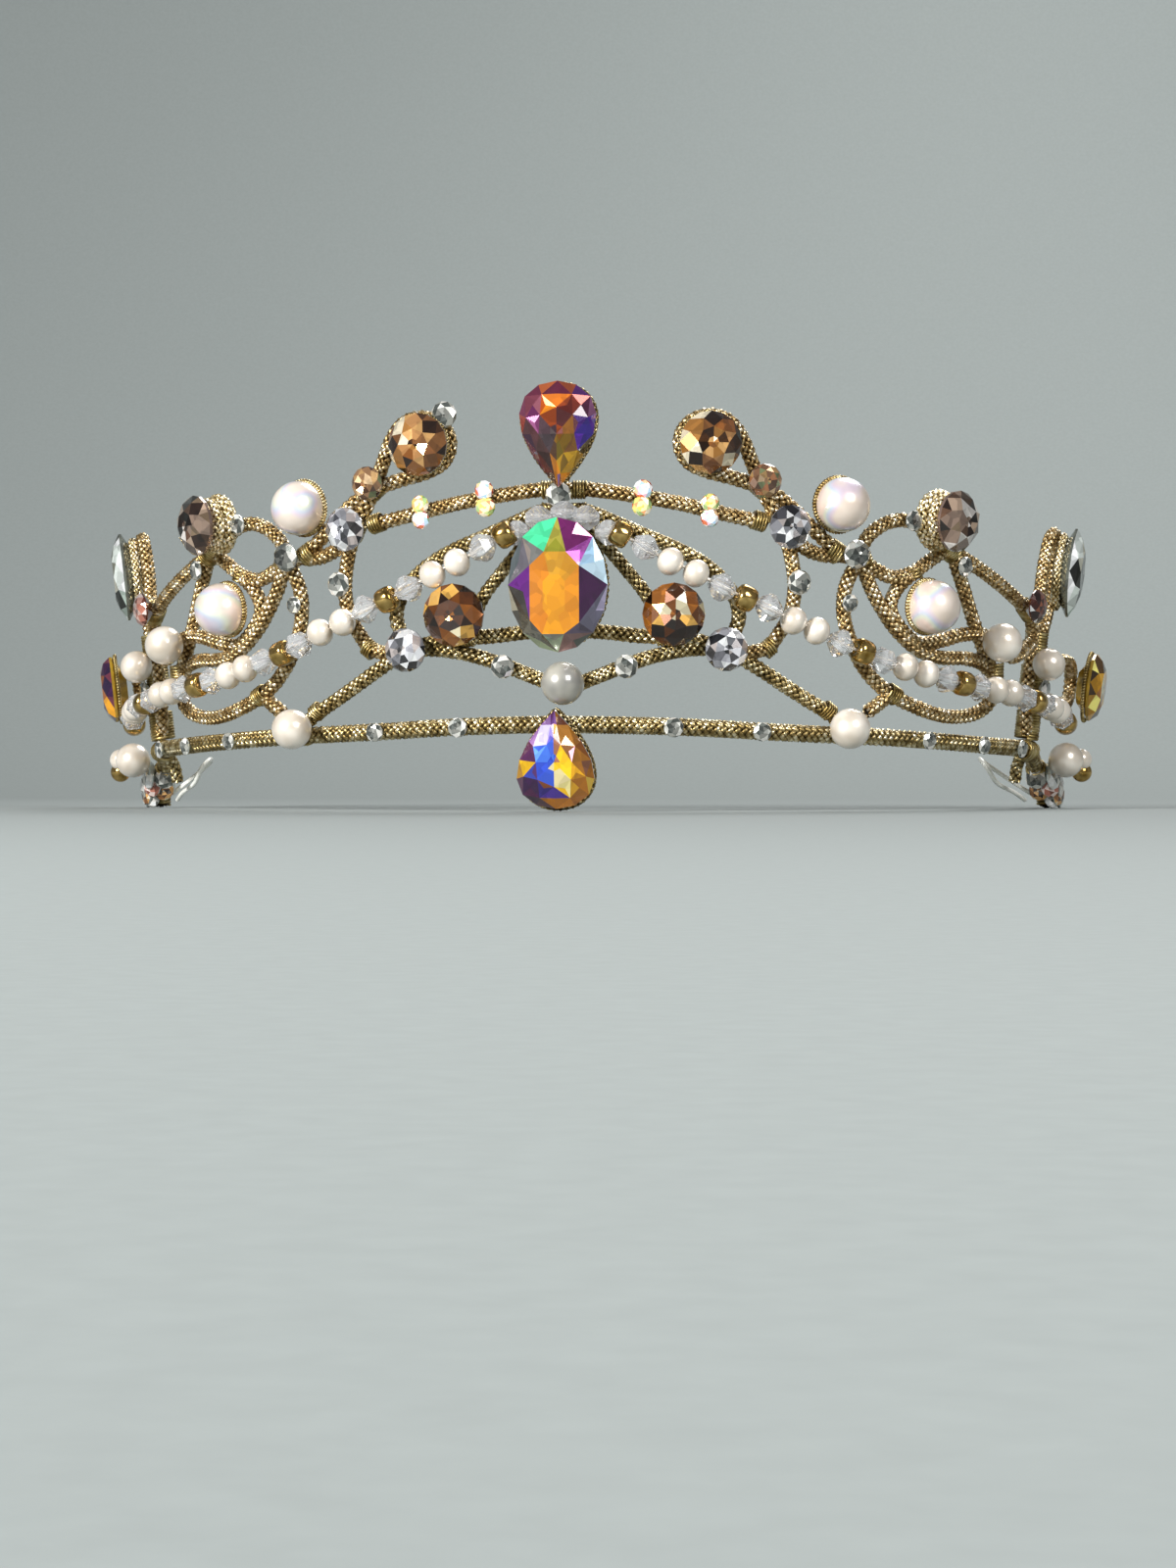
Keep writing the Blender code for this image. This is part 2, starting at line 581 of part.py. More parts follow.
def side_stones(side, sign):
    """The stones and pearls of one side."""
    cuts = {
        "crest_stone": (oval_outline, (ROUND_STONE, ROUND_STONE), 8, 4.2, "topaz_glass"),
        "crest_brown_stone": (oval_outline, (BROWN_STONE, BROWN_STONE), 4, 2.1, "topaz_glass"),
        "hub_crystal": (oval_outline, (HUB_CRYSTAL, HUB_CRYSTAL), 6, 2.5, "clear_glass"),
        "fork_crystal": (oval_outline, (FORK_CRYSTAL, FORK_CRYSTAL), 4, 1.9, "clear_glass"),
        "wing_stone": (oval_outline, (ROUND_STONE, ROUND_STONE), 8, 4.2, "topaz_glass"),
        "copper_stone": (oval_outline, (COPPER_STONE, COPPER_STONE), 4, 2.2, "copper_glass"),
        "end_navette": (navette_outline, NAVETTE, 8, 3.6, "smoke_glass"),
        "end_oval": (oval_outline, END_OVAL, 8, 3.8, "amber_glass"),
        "amber_stone": (oval_outline, (ROUND_STONE, ROUND_STONE), 8, 4.2, "amber_glass"),
        "low_crystal": (oval_outline, (HUB_CRYSTAL, HUB_CRYSTAL), 6, 2.5, "clear_glass"),
    }
    for name, (outline, size, facets, depth, finish) in cuts.items():
        angle, height, out, turn, tilt, spin = STONE_PLACES[name]
        place = placing(sign * angle, height, out, sign * turn, tilt, sign * spin)
        add_object(f"{name}_{side}", stone_mesh(outline, size, facets, depth), finish, place)
    for name, (angle, height, out, diameter) in PEARL_PLACES.items():
        place = placing(sign * angle, height, out)
        add_object(f"{name}_{side}", pearl_mesh(diameter), "pearl", place)


def set_down():
    """Leans the tiara back on its three feet and puts the middle of its footprint at the origin."""
    stand.rotation_euler.x = -LEAN
    bpy.context.view_layer.update()
    corners = [piece.matrix_world @ vertex.co for piece in tiara.objects if piece.type == "MESH"
               for vertex in piece.data.vertices]  # fmt: skip
    low = [min(corner[axis] for corner in corners) for axis in range(3)]
    high = [max(corner[axis] for corner in corners) for axis in range(3)]
    stand.location = (-(low[0] + high[0]) / 2, -(low[1] + high[1]) / 2, -low[2])
    bpy.context.view_layer.update()


for old in list(bpy.data.objects):
    bpy.data.objects.remove(old)
tiara = bpy.data.collections.new("ballet_tiara")
bpy.context.scene.collection.children.link(tiara)
stand = bpy.data.objects.new("stand", None)
tiara.objects.link(stand)

base_band()
centre_lattice()
top_arch()
centre_stones()
for side_name, side_sign in (("R", 1), ("L", -1)):
    scroll(side_name, side_sign)
    side_frame(side_name, side_sign)
    bead_string(side_name, side_sign)
    pin_loop(side_name, side_sign)
    side_stones(side_name, side_sign)
set_down()
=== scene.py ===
"""The looks of a ballet tiara: braided gold cord, foiled stones, pearls and a draped string of beads."""

import json
import math
import random

import bmesh
import bpy
from bpy.props import FloatProperty, FloatVectorProperty, IntProperty, PointerProperty
from mathutils import Matrix, Vector

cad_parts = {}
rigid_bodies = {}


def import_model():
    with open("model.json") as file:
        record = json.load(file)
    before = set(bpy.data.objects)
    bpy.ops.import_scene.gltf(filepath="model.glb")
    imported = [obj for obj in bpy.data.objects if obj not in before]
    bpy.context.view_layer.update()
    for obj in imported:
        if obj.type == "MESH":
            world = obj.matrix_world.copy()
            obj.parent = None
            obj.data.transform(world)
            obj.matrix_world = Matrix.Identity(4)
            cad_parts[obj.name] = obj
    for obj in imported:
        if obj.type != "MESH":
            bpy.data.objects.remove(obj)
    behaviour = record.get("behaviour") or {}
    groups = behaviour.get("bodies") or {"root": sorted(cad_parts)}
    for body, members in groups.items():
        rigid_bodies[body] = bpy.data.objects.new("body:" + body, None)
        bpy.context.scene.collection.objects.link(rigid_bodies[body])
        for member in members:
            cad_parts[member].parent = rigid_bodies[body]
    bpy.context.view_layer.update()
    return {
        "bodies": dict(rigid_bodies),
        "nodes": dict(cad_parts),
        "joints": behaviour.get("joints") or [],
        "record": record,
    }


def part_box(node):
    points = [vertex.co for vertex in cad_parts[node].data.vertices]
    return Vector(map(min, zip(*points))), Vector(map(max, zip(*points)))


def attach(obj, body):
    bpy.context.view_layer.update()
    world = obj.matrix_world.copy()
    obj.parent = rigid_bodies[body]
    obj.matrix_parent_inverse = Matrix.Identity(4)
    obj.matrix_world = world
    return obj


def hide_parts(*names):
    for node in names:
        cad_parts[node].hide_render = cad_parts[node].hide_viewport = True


bl_info = {
    "name": "Ballet tiara",
    "version": (1, 0, 0),
    "blender": (4, 5, 0),
    "location": "3D View > Sidebar > Tiara",
    "description": "Builds the cords, stones, pearls and beads of a ballet tiara round its frame",
    "category": "Object",
}

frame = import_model()

MM = 0.001
# How far the flat back of a stone stands out from its cord's surface, in mm.
GAP = 0.3
SIDES = (("R", 1), ("L", -1))

# The frame's crown surface is an oval that flares as it rises. A place on it is an angle from the
# front in degrees, a height over the band in mm and a distance out of the surface in mm.
HALF_WIDTH = 68.0
HALF_DEPTH = 66.0
FLARE = 0.12
LEAN = math.radians(2.5)

# Cord radii and stone sizes of the frame, in mm.
BAND = 1.3
CORD = 1.1
FINE = 1.0
LEG = 1.75
STEM = 0.85
RIM = 0.7
NYLON = 0.35
ROUND_STONE = 8.4
HUB_CRYSTAL = 5.9
BROWN_STONE = 4.6
FORK_CRYSTAL = 4.0
COPPER_STONE = 4.8
PEAR = (10.2, 14.0)
DROP_PEAR = (10.4, 13.2)
OVAL = (13.2, 17.8)
END_OVAL = (7.6, 10.2)
NAVETTE = (6.4, 13.0)
CABOCHON = 7.4
PEARL = 5.5
END_PEARL = 4.7

# The cords' routes on the right side, as angle, height and, where it isn't 0, distance out.
BAND_ROUTE = (
    (0.0, 0.2), (12.0, 0.0), (24.0, -0.5), (36.0, -0.7), (48.0, -0.9), (58.0, -1.0), (68.0, -1.0, -0.3),
    (75.0, -1.6, -1.2), (80.5, -3.0, -1.4), (84.5, -5.2, -0.4),
)
TOP_ARCH = ((0.0, 31.2), (3.0, 31.2), (8.4, 30.3), (12.0, 29.6), (15.6, 28.7), (19.0, 27.9), (21.4, 27.4))
INNER_ARCH = (
    (0.0, 28.5), (2.4, 28.4), (5.6, 26.8), (8.7, 25.2), (12.0, 23.6), (14.9, 21.8), (17.4, 19.4),
    (19.0, 16.6), (19.2, 13.8), (17.8, 11.0),
)
LOW_ARCH = (
    (0.0, 12.6), (4.0, 12.5), (8.0, 12.0), (12.0, 11.8), (15.0, 11.4), (18.0, 10.2), (21.0, 8.5),
    (25.0, 5.8), (28.5, 3.6), (30.8, 2.3), (32.6, 0.8, 0.2),
)
VEE = ((0.0, 5.1), (3.0, 6.3), (7.0, 8.2), (10.4, 9.5), (13.9, 10.3), (17.4, 10.5))
INNER_LEG = ((1.6, 28.2), (4.8, 23.4), (6.9, 20.4), (9.0, 17.2), (11.0, 12.4))
SCROLL_CORDS = {
    "crest_loop": (
        (21.2, 32.4), (20.1, 35.2), (18.9, 38.4), (17.3, 40.6), (15.1, 41.2), (13.0, 40.0), (12.2, 37.6),
        (13.0, 35.2), (15.1, 33.9), (18.0, 33.1), (20.8, 32.2),
    ),
    "crest_to_fork": ((21.0, 32.4), (24.4, 29.9), (27.2, 27.1), (30.4, 24.2), (32.4, 23.2)),
    "crest_to_hub": ((21.2, 32.2), (22.2, 30.0), (23.2, 28.2), (24.1, 26.6)),
    "hub_to_fork": ((23.9, 26.8), (26.3, 24.4), (28.6, 23.4), (30.6, 23.4), (33.0, 23.6)),
    "post": (
        (24.1, 26.4), (25.2, 22.4), (25.7, 18.6), (25.2, 15.0), (23.8, 12.2), (22.8, 10.8), (20.6, 10.0),
        (18.6, 10.2),
    ),
}
FRAME_CORDS = {
    "small_loop_over": ((33.4, 23.8), (34.6, 26.4), (37.0, 28.3), (39.8, 28.8), (42.7, 27.6), (46.0, 25.5)),
    "small_loop_under": (
        (33.4, 23.5), (35.2, 22.2), (38.2, 21.0), (41.3, 22.0), (43.7, 23.8), (46.3, 25.6),
    ),
    "wing_leg_and_low_loop": (
        (46.6, 25.8), (49.2, 21.0), (51.6, 16.6), (54.2, 12.6), (56.6, 9.6), (57.6, 6.8), (56.2, 4.4),
        (53.0, 3.0), (48.5, 2.6), (44.0, 3.4), (39.2, 5.2), (35.8, 7.8), (33.4, 11.4), (32.0, 15.4),
        (32.0, 19.3), (33.5, 23.2),
    ),
    "fork_to_wing": (
        (33.6, 23.2), (35.8, 18.6), (39.1, 14.2), (43.0, 11.4), (46.8, 10.6), (51.0, 10.8), (54.8, 10.2),
        (57.2, 8.4),
    ),
    "cabochon_loop": (
        (41.3, 21.8), (39.2, 19.8), (38.2, 17.2), (39.4, 14.8), (42.6, 12.4), (46.4, 12.9), (50.0, 14.0),
        (54.0, 14.3), (57.6, 13.6), (60.5, 11.8), (63.6, 12.4, -0.1), (67.6, 14.6, -0.5),
    ),
    "wing_to_copper": ((46.8, 25.4), (52.4, 23.2), (58.0, 21.0), (64.0, 18.8, -0.1)),
    "foot_strut": ((39.2, 5.2), (37.4, 3.6), (36.0, 2.6)),
    "end_loop": (
        (67.5, 17.6, -0.6), (70.6, 21.6, -1.3), (71.8, 25.6, -1.6), (72.8, 29.2, -1.6), (75.0, 30.8, -1.6),
        (77.2, 29.2, -1.6), (77.9, 25.6, -1.6), (76.4, 21.6, -1.4), (73.4, 17.8, -1.0), (71.6, 14.6, -0.9),
        (71.4, 10.6, -0.9), (71.6, 6.6, -0.9), (73.4, 1.2, -1.2),
    ),
    "end_post": (
        (63.6, 18.9, -0.1), (66.6, 17.4, -0.5), (68.3, 14.4, -0.7), (68.6, 9.6, -0.8), (68.8, 4.8, -0.7),
        (69.4, 1.3, -0.5),
    ),
    "end_stone_loop": (
        (71.4, 11.2, -0.9), (75.0, 12.2), (79.0, 12.8, 0.9), (83.0, 12.8, 1.5), (86.4, 11.3, 1.8),
        (86.4, 8.3, 1.8), (83.0, 6.7, 1.4), (79.0, 6.6, 0.7), (75.0, 6.8, -0.2), (71.6, 6.8, -0.9),
    ),
}
BAND_TAIL = ((70.5, -1.3, -0.8), (72.0, -3.2, -2.2), (73.0, -5.6, -2.6))
PEAR_STEM = ((0.0, 31.2), (0.0, 34.0, 0.3), (0.0, 38.0, 0.3), (0.0, 41.0, 0.2))
PIN_LOOP = (
    (83.4, -7.0, -1.7), (79.5, -5.2, -5.2), (74.5, -3.4, -7.8), (70.5, -3.0, -7.4), (69.4, -4.2, -5.8),
    (72.4, -6.2, -5.0), (78.0, -7.2, -3.6), (82.0, -8.0, -2.6),
)
STRING_ROUTE = (
    (4.9, 26.3, 3.4), (9.5, 22.9, 3.4), (13.5, 20.6, 3.4), (17.8, 18.0, 3.4), (26.0, 13.9, 3.4),
    (33.0, 10.7, 3.4), (40.6, 8.5, 3.4), (48.6, 7.2, 3.4), (56.0, 6.6, 3.4), (64.0, 5.8, 3.3),
    (72.0, 5.1, 2.8), (79.5, 3.4, 2.6),
)
# A leg leaves the crown at its top and ends over the ground, straight down from its ankle. In metres, the
# foot's height over the ground and the ankle's over the foot.
LEG_TOP = (80.5, -3.0, -1.4)
FOOT_PLACE = (86.5, -11.7, 0.9)
FOOT_HEIGHT = 0.0004
ANKLE = 0.0014

# Stones, as angle, height, outward offset of the flat back, turn, tilt and spin.
TOP_PEAR_PLACE = (-0.3, 38.4, CORD + GAP, 0, 0, 0)
OVAL_PLACE = (-0.4, 18.8, CORD + GAP, 0, 0, 0)
DROP_PEAR_PLACE = (-0.8, -3.9, BAND + GAP, 0, 5, 0)
# The height of the frame's middle pearl, and the one seen, which is a little lower and larger.
CENTRE_PEARL_HEIGHT = 6.1
CENTRE_PEARL_DROP = 0.2
CENTRE_PEARL = PEARL + 0.3
# The cord behind a middle stone: its height over the flat back in mm, its size as a share of the stone's,
# and how far the lowest one sags.
RIM_RISE = 0.75
RIM_SHARE = 0.91
DROP_SAG = 0.35
STONE_PLACES = {
    "crest_stone": (15.1, 37.6, 0.1, 0, 0, 0),
    "crest_brown_stone": (21.0, 32.8, CORD + GAP, 0, 0, 10),
    "hub_crystal": (23.9, 26.9, CORD + GAP, 0, 0, 0),
    "fork_crystal": (32.0, 23.7, CORD + GAP, 0, 0, 0),
    "wing_stone": (43.6, 29.2, 2.1, 8, 0, 0),
    "copper_stone": (62.0, 19.2, CORD + GAP, 0, 0, 0),
    "end_navette": (75.0, 25.4, -0.3, 2, 0, 0),
    "end_oval": (83.4, 9.7, 3.2, -6, 0, -8),
    "amber_stone": (11.5, 15.0, CORD + GAP, 0, 0, 0),
    "low_crystal": (17.4, 10.5, CORD + GAP, 0, 0, 12),
}
PEARL_PLACES = {
    "crest_cabochon": (30.2, 30.2, 1.9, CABOCHON),
    "wing_cabochon": (42.6, 17.4, 2.75, CABOCHON),
    "wing_pearl": (53.2, 13.4, 4.2, PEARL),
    "end_pearl": (67.0, 11.4, 2.75, END_PEARL),
    "band_pearl": (31.6, 0.5, 4.4, PEARL),
    "leg_pearl": (78.4, -1.6, 3.3, 5.2),
}
# Small crystals: angle, height, distance of their back from the cord's middle, size, palette.
CHIP_PLACES = (
    (12.0, 0.0, 1.1, 2.7, "grey"), (22.1, -0.4, 1.1, 2.6, "grey"), (44.6, -0.8, 1.1, 2.5, "grey"),
    (54.6, -1.0, 1.1, 2.6, "grey"), (64.0, -1.0, 1.0, 2.6, "grey"), (8.3, 31.3, 0.9, 2.6, "rainbow"),
    (8.2, 29.1, 0.9, 2.7, "sunny_rainbow"), (15.4, 29.7, 0.9, 2.5, "sunny_rainbow"),
    (15.4, 27.7, 0.9, 2.5, "rainbow"), (6.7, 8.0, 1.0, 3.2, "grey"), (25.6, 19.6, 1.0, 3.4, "grey"),
    (32.0, 17.2, 1.0, 2.4, "grey"), (39.6, 28.8, 1.0, 2.9, "grey"), (48.0, 23.3, 1.0, 2.8, "grey"),
    (70.0, 8.0, 0.6, 3.0, "grey"),
)
# Crystals on one side or in the middle alone: angle, height, distance, size, palette.
SINGLE_CHIPS = ((-0.4, 30.6, 2.0, 3.4, "grey"), (-12.4, 41.4, 0.6, 3.6, "grey"))
# Stones round each leg: share of the way down, turn in degrees, size, palette.
LEG_CHIPS = (
    (0.06, 0.0, 3.2, "grey"), (0.26, 24.0, 4.0, "clear"), (0.24, -42.0, 3.4, "grey"),
    (0.5, -12.0, 4.2, "clear"), (0.48, 52.0, 3.6, "copper_pink"), (0.7, 22.0, 3.6, "topaz"),
    (0.7, -44.0, 3.4, "grey"), (0.83, -8.0, 2.9, "smoke"), (0.8, 56.0, 3.0, "clear"),
    (0.3, 100.0, 3.2, "grey"), (0.6, 100.0, 3.2, "topaz"), (0.5, -90.0, 3.2, "clear"),
)
# Beads against each leg pearl: name, size, place, finish, slot.
LEG_BEADS = (
    ("leg_gilt_bead", 3.0, (80.9, -3.0, 5.4), "gilt_brass", "gold_bead"),
    ("leg_small_pearl", 3.2, (80.2, -1.2, 5.2), "cream_pearl_lacquer", "pearl"),
)

# Thread bindings: angle, height, outward offset, direction in the crown surface, length, radius.
BINDINGS = {
    "scroll": (
        (21.1, 32.3, 0.0, -38.0, 2.6, 1.75), (24.0, 26.6, 0.0, -60.0, 2.4, 1.6),
        (30.2, 24.0, 0.0, -28.0, 2.2, 1.7), (22.9, 10.7, 0.0, 40.0, 1.6, 1.4),
    ),
    "side": (
        (33.5, 23.4, 0.0, -62.0, 2.6, 1.9), (46.4, 25.6, 0.0, -30.0, 2.8, 1.8),
        (41.2, 21.7, 0.0, -70.0, 1.4, 1.4), (57.1, 9.0, 0.0, -80.0, 3.0, 1.7),
        (64.6, 18.7, -0.2, -24.0, 3.0, 1.6), (70.1, 9.2, -0.9, 90.0, 4.0, 1.9),
        (70.4, 2.6, -0.8, 90.0, 4.0, 2.0), (39.4, 5.2, 0.0, -25.0, 2.0, 1.5),
        (70.0, 14.6, -0.8, 90.0, 3.0, 1.9),
    ),
    "lattice": (
        (17.6, 10.8, 0.0, -30.0, 3.0, 1.7), (11.2, 11.9, 0.0, -4.0, 2.2, 1.5),
        (2.0, 28.2, 0.0, -40.0, 1.8, 1.5), (30.6, 2.6, 0.0, -34.0, 1.6, 1.4),
    ),
    "arch": ((21.2, 27.5, 0.0, -14.0, 2.0, 1.5), (1.6, 31.2, 0.0, 0.0, 2.0, 1.4)),
    "band": ((33.6, -0.6, 0.0, 0.0, 3.0, 1.6), (69.6, -1.1, -0.4, 0.0, 4.0, 1.75)),
}

# Thin cords have fewer strands and a shorter cell. A braid's strand is this share of its cord's radius, and
# a binding thread this share of its coil's, thicker where it edges a stone.
THIN_STRANDS = 8
THIN_CELL = 0.8
BRAID_SHARE = 0.27
BINDING_SHARE = 0.13
EDGE_SHARE = 0.4
# The facets round a main stone, and how far the mirrors of the side stones and of the small crystals lean
# out of their facets, as a slope.
FACETS = 8
SIDE_LEAN = 0.26
CHIP_LEAN = 0.4

# The string: each kind's length along it, and the order that repeats.
BEAD_LENGTHS = {"crystal": 3.8, "gold": 3.0, "pearl": 3.6}
STRING_REPEAT = ("gold", "crystal", "pearl", "pearl", "crystal")
STRING_BEADS = 26
# Its crystals that lie behind the middle oval's top edge: angle, height and distance.
HIDDEN_BEADS = ((4.7, 25.6, 2.3), (2.4, 27.5, 2.6), (0.2, 28.1, 2.6))


def linear(hex_colour):
    """An sRGB hex colour as linear red, green and blue."""
    channels = [int(hex_colour[i : i + 2], 16) / 255 for i in (1, 3, 5)]
    return tuple(c / 12.92 if c <= 0.04045 else ((c + 0.055) / 1.055) ** 2.4 for c in channels)


# The foils' colours, partly the glass's own colour and partly painted reflection: the near-white ones are
# painted glints and the darkest ones painted dark reflections. A facet takes one by chance, from its own
# kind's where the kinds of facet differ.
FOILS = {
    "amber": (
        "#2a1406", "#5c300c", "#8a4e14", "#b87028", "#f0b858", "#44240a", "#fff0c8", "#744010", "#1e1006",
    ),
    "topaz": ("#4a2c14", "#8a5a30", "#b07838", "#dba868", "#fff0d0", "#2c180a", "#9c5e2a", "#c89058"),
    "smoky": ("#2c1c14", "#5c4434", "#867058", "#c4a890", "#f8f0e8", "#1a100a", "#6c4c38", "#988070"),
    "brown": ("#6c4c34", "#8c6848", "#a88454", "#6c7450", "#4c3424", "#d0b088", "#94603c"),
    "crystal": ("#1c1c20", "#54545a", "#a4a4aa", "#f0f0f4", "#ffffff", "#3a3636", "#c8bcb8", "#74747a"),
    "grey": {
        "table": (("#3c3e3a", "#565a56", "#74746e", "#989892"),),
        "star": (("#d8d8d0", "#7c7e78", "#3c403c"),),
        "kite": (("#f4f0ea", "#a4a49c", "#6c706a", "#c8c8c0", "#484c48"),),
        "girdle": (("#fffcf4", "#8c8c84", "#ccc8c0", "#4c504a"),),
    },
    "copper": ("#4c1c0c", "#8c3c1c", "#6c2c18", "#381810", "#ffffff", "#5c2c20", "#2c1008", "#a85c38"),
    "copper_pink": ("#a86858", "#d8a090", "#f0c8b8", "#7c4434", "#ffe8e0", "#c47c68"),
    "smoke": {
        "table": (("#14140e", "#2c2a20", "#4c4838", "#1c1a14"),),
        "star": (("#2c2a22", "#8c8c7c", "#e8e4d0"),),
        "kite": (("#1c1c16", "#f4fcf4", "#6c6c60", "#c8d4c8"),),
        "girdle": (("#f4fcf4", "#a8b6ac", "#4c5048", "#ffffff"),),
    },
    "clear": ("#84847c", "#d8d4cc", "#ffffff", "#5c5c54", "#b8b4ac", "#f4f0e8"),
    "rainbow": {
        "table": (("#f4fbff", "#dcecf8"),),
        "star": (("#f8c8d8", "#ffffff", "#b8d8f4"),),
        "kite": (("#e87c50", "#ffffff", "#c8e4f8", "#f4d0a0"),),
        "girdle": (("#ffffff", "#b84c34", "#8cb890", "#dcecf8"),),
    },
    "sunny_rainbow": {
        "table": (("#f4ecb0", "#e8d868"),),
        "star": (("#f4a870", "#fff4d8", "#c8d88c"),),
        "kite": (("#a8c480", "#fff4d8", "#f0e080", "#e08850"),),
        "girdle": (("#fff4d8", "#84a45c", "#e8d868", "#c05c38"),),
    },
    "yellow": ("#5c3c04", "#b88408", "#f0b008", "#fcf080", "#3c2804", "#a06008", "#d89808"),
    "purple_amber": ("#3c1440", "#6c2c40", "#b86410", "#e8a018", "#281038", "#8c4818"),
}
# Stones whose foil shifts through the rainbow: the facets' colours in order, from the right round by the top.
# The colours are the glass's and the rainbow coat's, with painted reflections: the palest are painted
# highlights and the darkest painted dark reflections. Where a place has several colours, the parts of that
# facet take them by chance.
TOP_PEAR_FOIL = {
    "table": (
        ("#6c3c0c", "#7c4c10"), ("#4c1c1c", "#6c2c24"), ("#8c3c14", "#e09838"), ("#4c343c", "#644044"),
        ("#44383c", "#5c4c4c"), ("#4c3424", "#403438"), ("#7c5404", "#5c4c10"), ("#8c6c0c", "#6c500c"),
    ),
    "star": (
        ("#3c1468", "#5c2c34"), ("#5c1c14", "#8c3c1c"), ("#f08c18", "#ffc040", "#b8500c"),
        ("#6c2c58", "#4c2038"),
        "#3c1c1a", ("#7c4008", "#a0600c"), ("#ffe03c", "#b08410", "#7c580a"), ("#6e4410", "#8c5c14"),
    ),
    "kite": (
        ("#34148c", "#5420a0", "#6c2c5c"), ("#7c2c1c", "#4c1838"), ("#843c20", "#d87420", "#5c1c34"),
        ("#5c204c", "#783848"), ("#34182c", "#c8a470", "#4c2428"), ("#5c1c0a", "#30120e"),
        ("#c8780c", "#785890"), ("#7c5c0c", "#c89814"),
    ),
    "girdle": (
        "#44189c", "#845074", "#4c1c60", "#843c20", "#b0582c", "#602038", "#6c3048", "#8c3c34",
        "#5c2440", "#4c1c2c", "#341618", "#4c160a", "#8c400a", "#d8840c", "#a87c14", "#403010",
    ),
}
DROP_PEAR_FOIL = {
    "table": ("#ffc818", "#a86c50", "#3a60d8", "#4c80f4", "#2c4cc8", "#3454c4", "#e8d8a0", "#ffd420"),
    "star": (
        ("#a87040", "#8c5868"), ("#d8901c", "#8c6044"), ("#b4a0f4", "#7c70e0"), ("#3c60d4", "#6ca4fc"),
        ("#2c3ca0", "#5a2c70"), ("#8a4c2c", "#302470"), ("#ffc820", "#fff0a0"), ("#f8b418", "#b87c10"),
    ),
    "kite": (
        ("#b87828", "#8c5a40"), ("#9c6444", "#c08030"), ("#6c4084", "#c8801c"), ("#e8dcff", "#9c70c8"),
        ("#e8b418", "#5c2858"), ("#481440", "#341040"), ("#c87c18", "#4c3494"), ("#b06c10", "#f0b020"),
    ),
    "girdle": (
        "#8c5014", "#b07020", "#7c4838", "#a86c1c", "#5c3064", "#8c60a0", "#b080c0", "#6c3858",
        "#c8901c", "#4c1840", "#2c0c2c", "#5c2030", "#e89018", "#d07c18", "#f0c030", "#a86814",
    ),
}
OVAL_FOIL = {
    "table": ("#dc8804", "#cc8c10", "#d09418", "#d88008", "#dc8418", "#d47c0c", "#e89804", "#e49006"),
    "star": (
        ("#7c1c7c", "#c4248c", "#541048"), ("#8c8c28", "#a49c3c"), ("#747470", "#8c8078"),
        ("#44403c", "#6c2c84"), ("#4c4a44", "#6c6658"), ("#7c7c70", "#94605c", "#88987c"),
        ("#6c5c74", "#584c60"), ("#48104c", "#3c0c40"),
    ),
    "kite": (
        ("#ffffff", "#d4f0ff", "#b8e0ff"), ("#7c2c54", "#a83878", "#6c1c5c"), "#4cdc9c",
        ("#5c6466", "#8c9296", "#6c6870"), ("#5c584e", "#4a463e", "#98907c"),
        ("#848c70", "#98a480", "#605c50"), ("#8c6864", "#787a74", "#5c6058"),
        ("#a098b4", "#6c687c", "#484858"),
    ),
    "girdle": ("#dce8ec",),
}
# The outline of the oval's long eight-sided table, in mm, from its lower right corner.
OVAL_TABLE = (
    (3.0, -4.9), (3.0, 2.6), (1.3, 4.4), (-1.6, 4.4), (-3.5, 2.6), (-3.5, -4.6), (-1.9, -6.4), (1.0, -6.4),
)


def on_crown(angle, height, out=0.0):
    """The point at a place on the crown, in millimetres, before the tiara leans back."""
    turn = math.radians(angle)
    wide = HALF_WIDTH + FLARE * height
    deep = HALF_DEPTH + FLARE * height
    point = Vector((wide * math.sin(turn), HALF_DEPTH - deep * math.cos(turn), height))
    return point + out * crown_axes(angle, height)[2]


def crown_axes(angle, height):
    """Unit vectors at a place: along the crown, up it, and out of it."""
    turn = math.radians(angle)
    wide = HALF_WIDTH + FLARE * height
    deep = HALF_DEPTH + FLARE * height
    along = Vector((wide * math.cos(turn), deep * math.sin(turn), 0.0)).normalized()
    rise = Vector((FLARE * math.sin(turn), -FLARE * math.cos(turn), 1.0))
    out = along.cross(rise).normalized()
    return along, out.cross(along), out


def stand_matrix():
    """From the crown's millimetres to the frame's metres, read off where the middle pearl sits."""
    turned = Matrix.Rotation(-LEAN, 4, "X") @ Matrix.Scale(MM, 4)
    low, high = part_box("centre_pearl")
    pearl = turned @ on_crown(0.0, CENTRE_PEARL_HEIGHT, CORD + GAP + PEARL / 2)
    return Matrix.Translation((low + high) / 2 - pearl) @ turned


STAND = stand_matrix()


def placing(angle, height, out, turn=0.0, tilt=0.0, spin=0.0):
    """Matrix from a piece's own millimetres, its face along +Z, to its seat on the standing tiara."""
    along, rise, outward = crown_axes(angle, height)
    axes = Matrix((along, rise, outward)).transposed().to_4x4()
    local = (
        Matrix.Rotation(math.radians(turn), 4, "Y")
        @ Matrix.Rotation(math.radians(tilt), 4, "X")
        @ Matrix.Rotation(math.radians(spin), 4, "Z")
    )
    return STAND @ Matrix.Translation(on_crown(angle, height, out)) @ axes @ local


def both_ways(route):
    """A route from the left end over the middle to the right end."""
    return [(-angle, *rest) for angle, *rest in route[:0:-1]] + list(route)


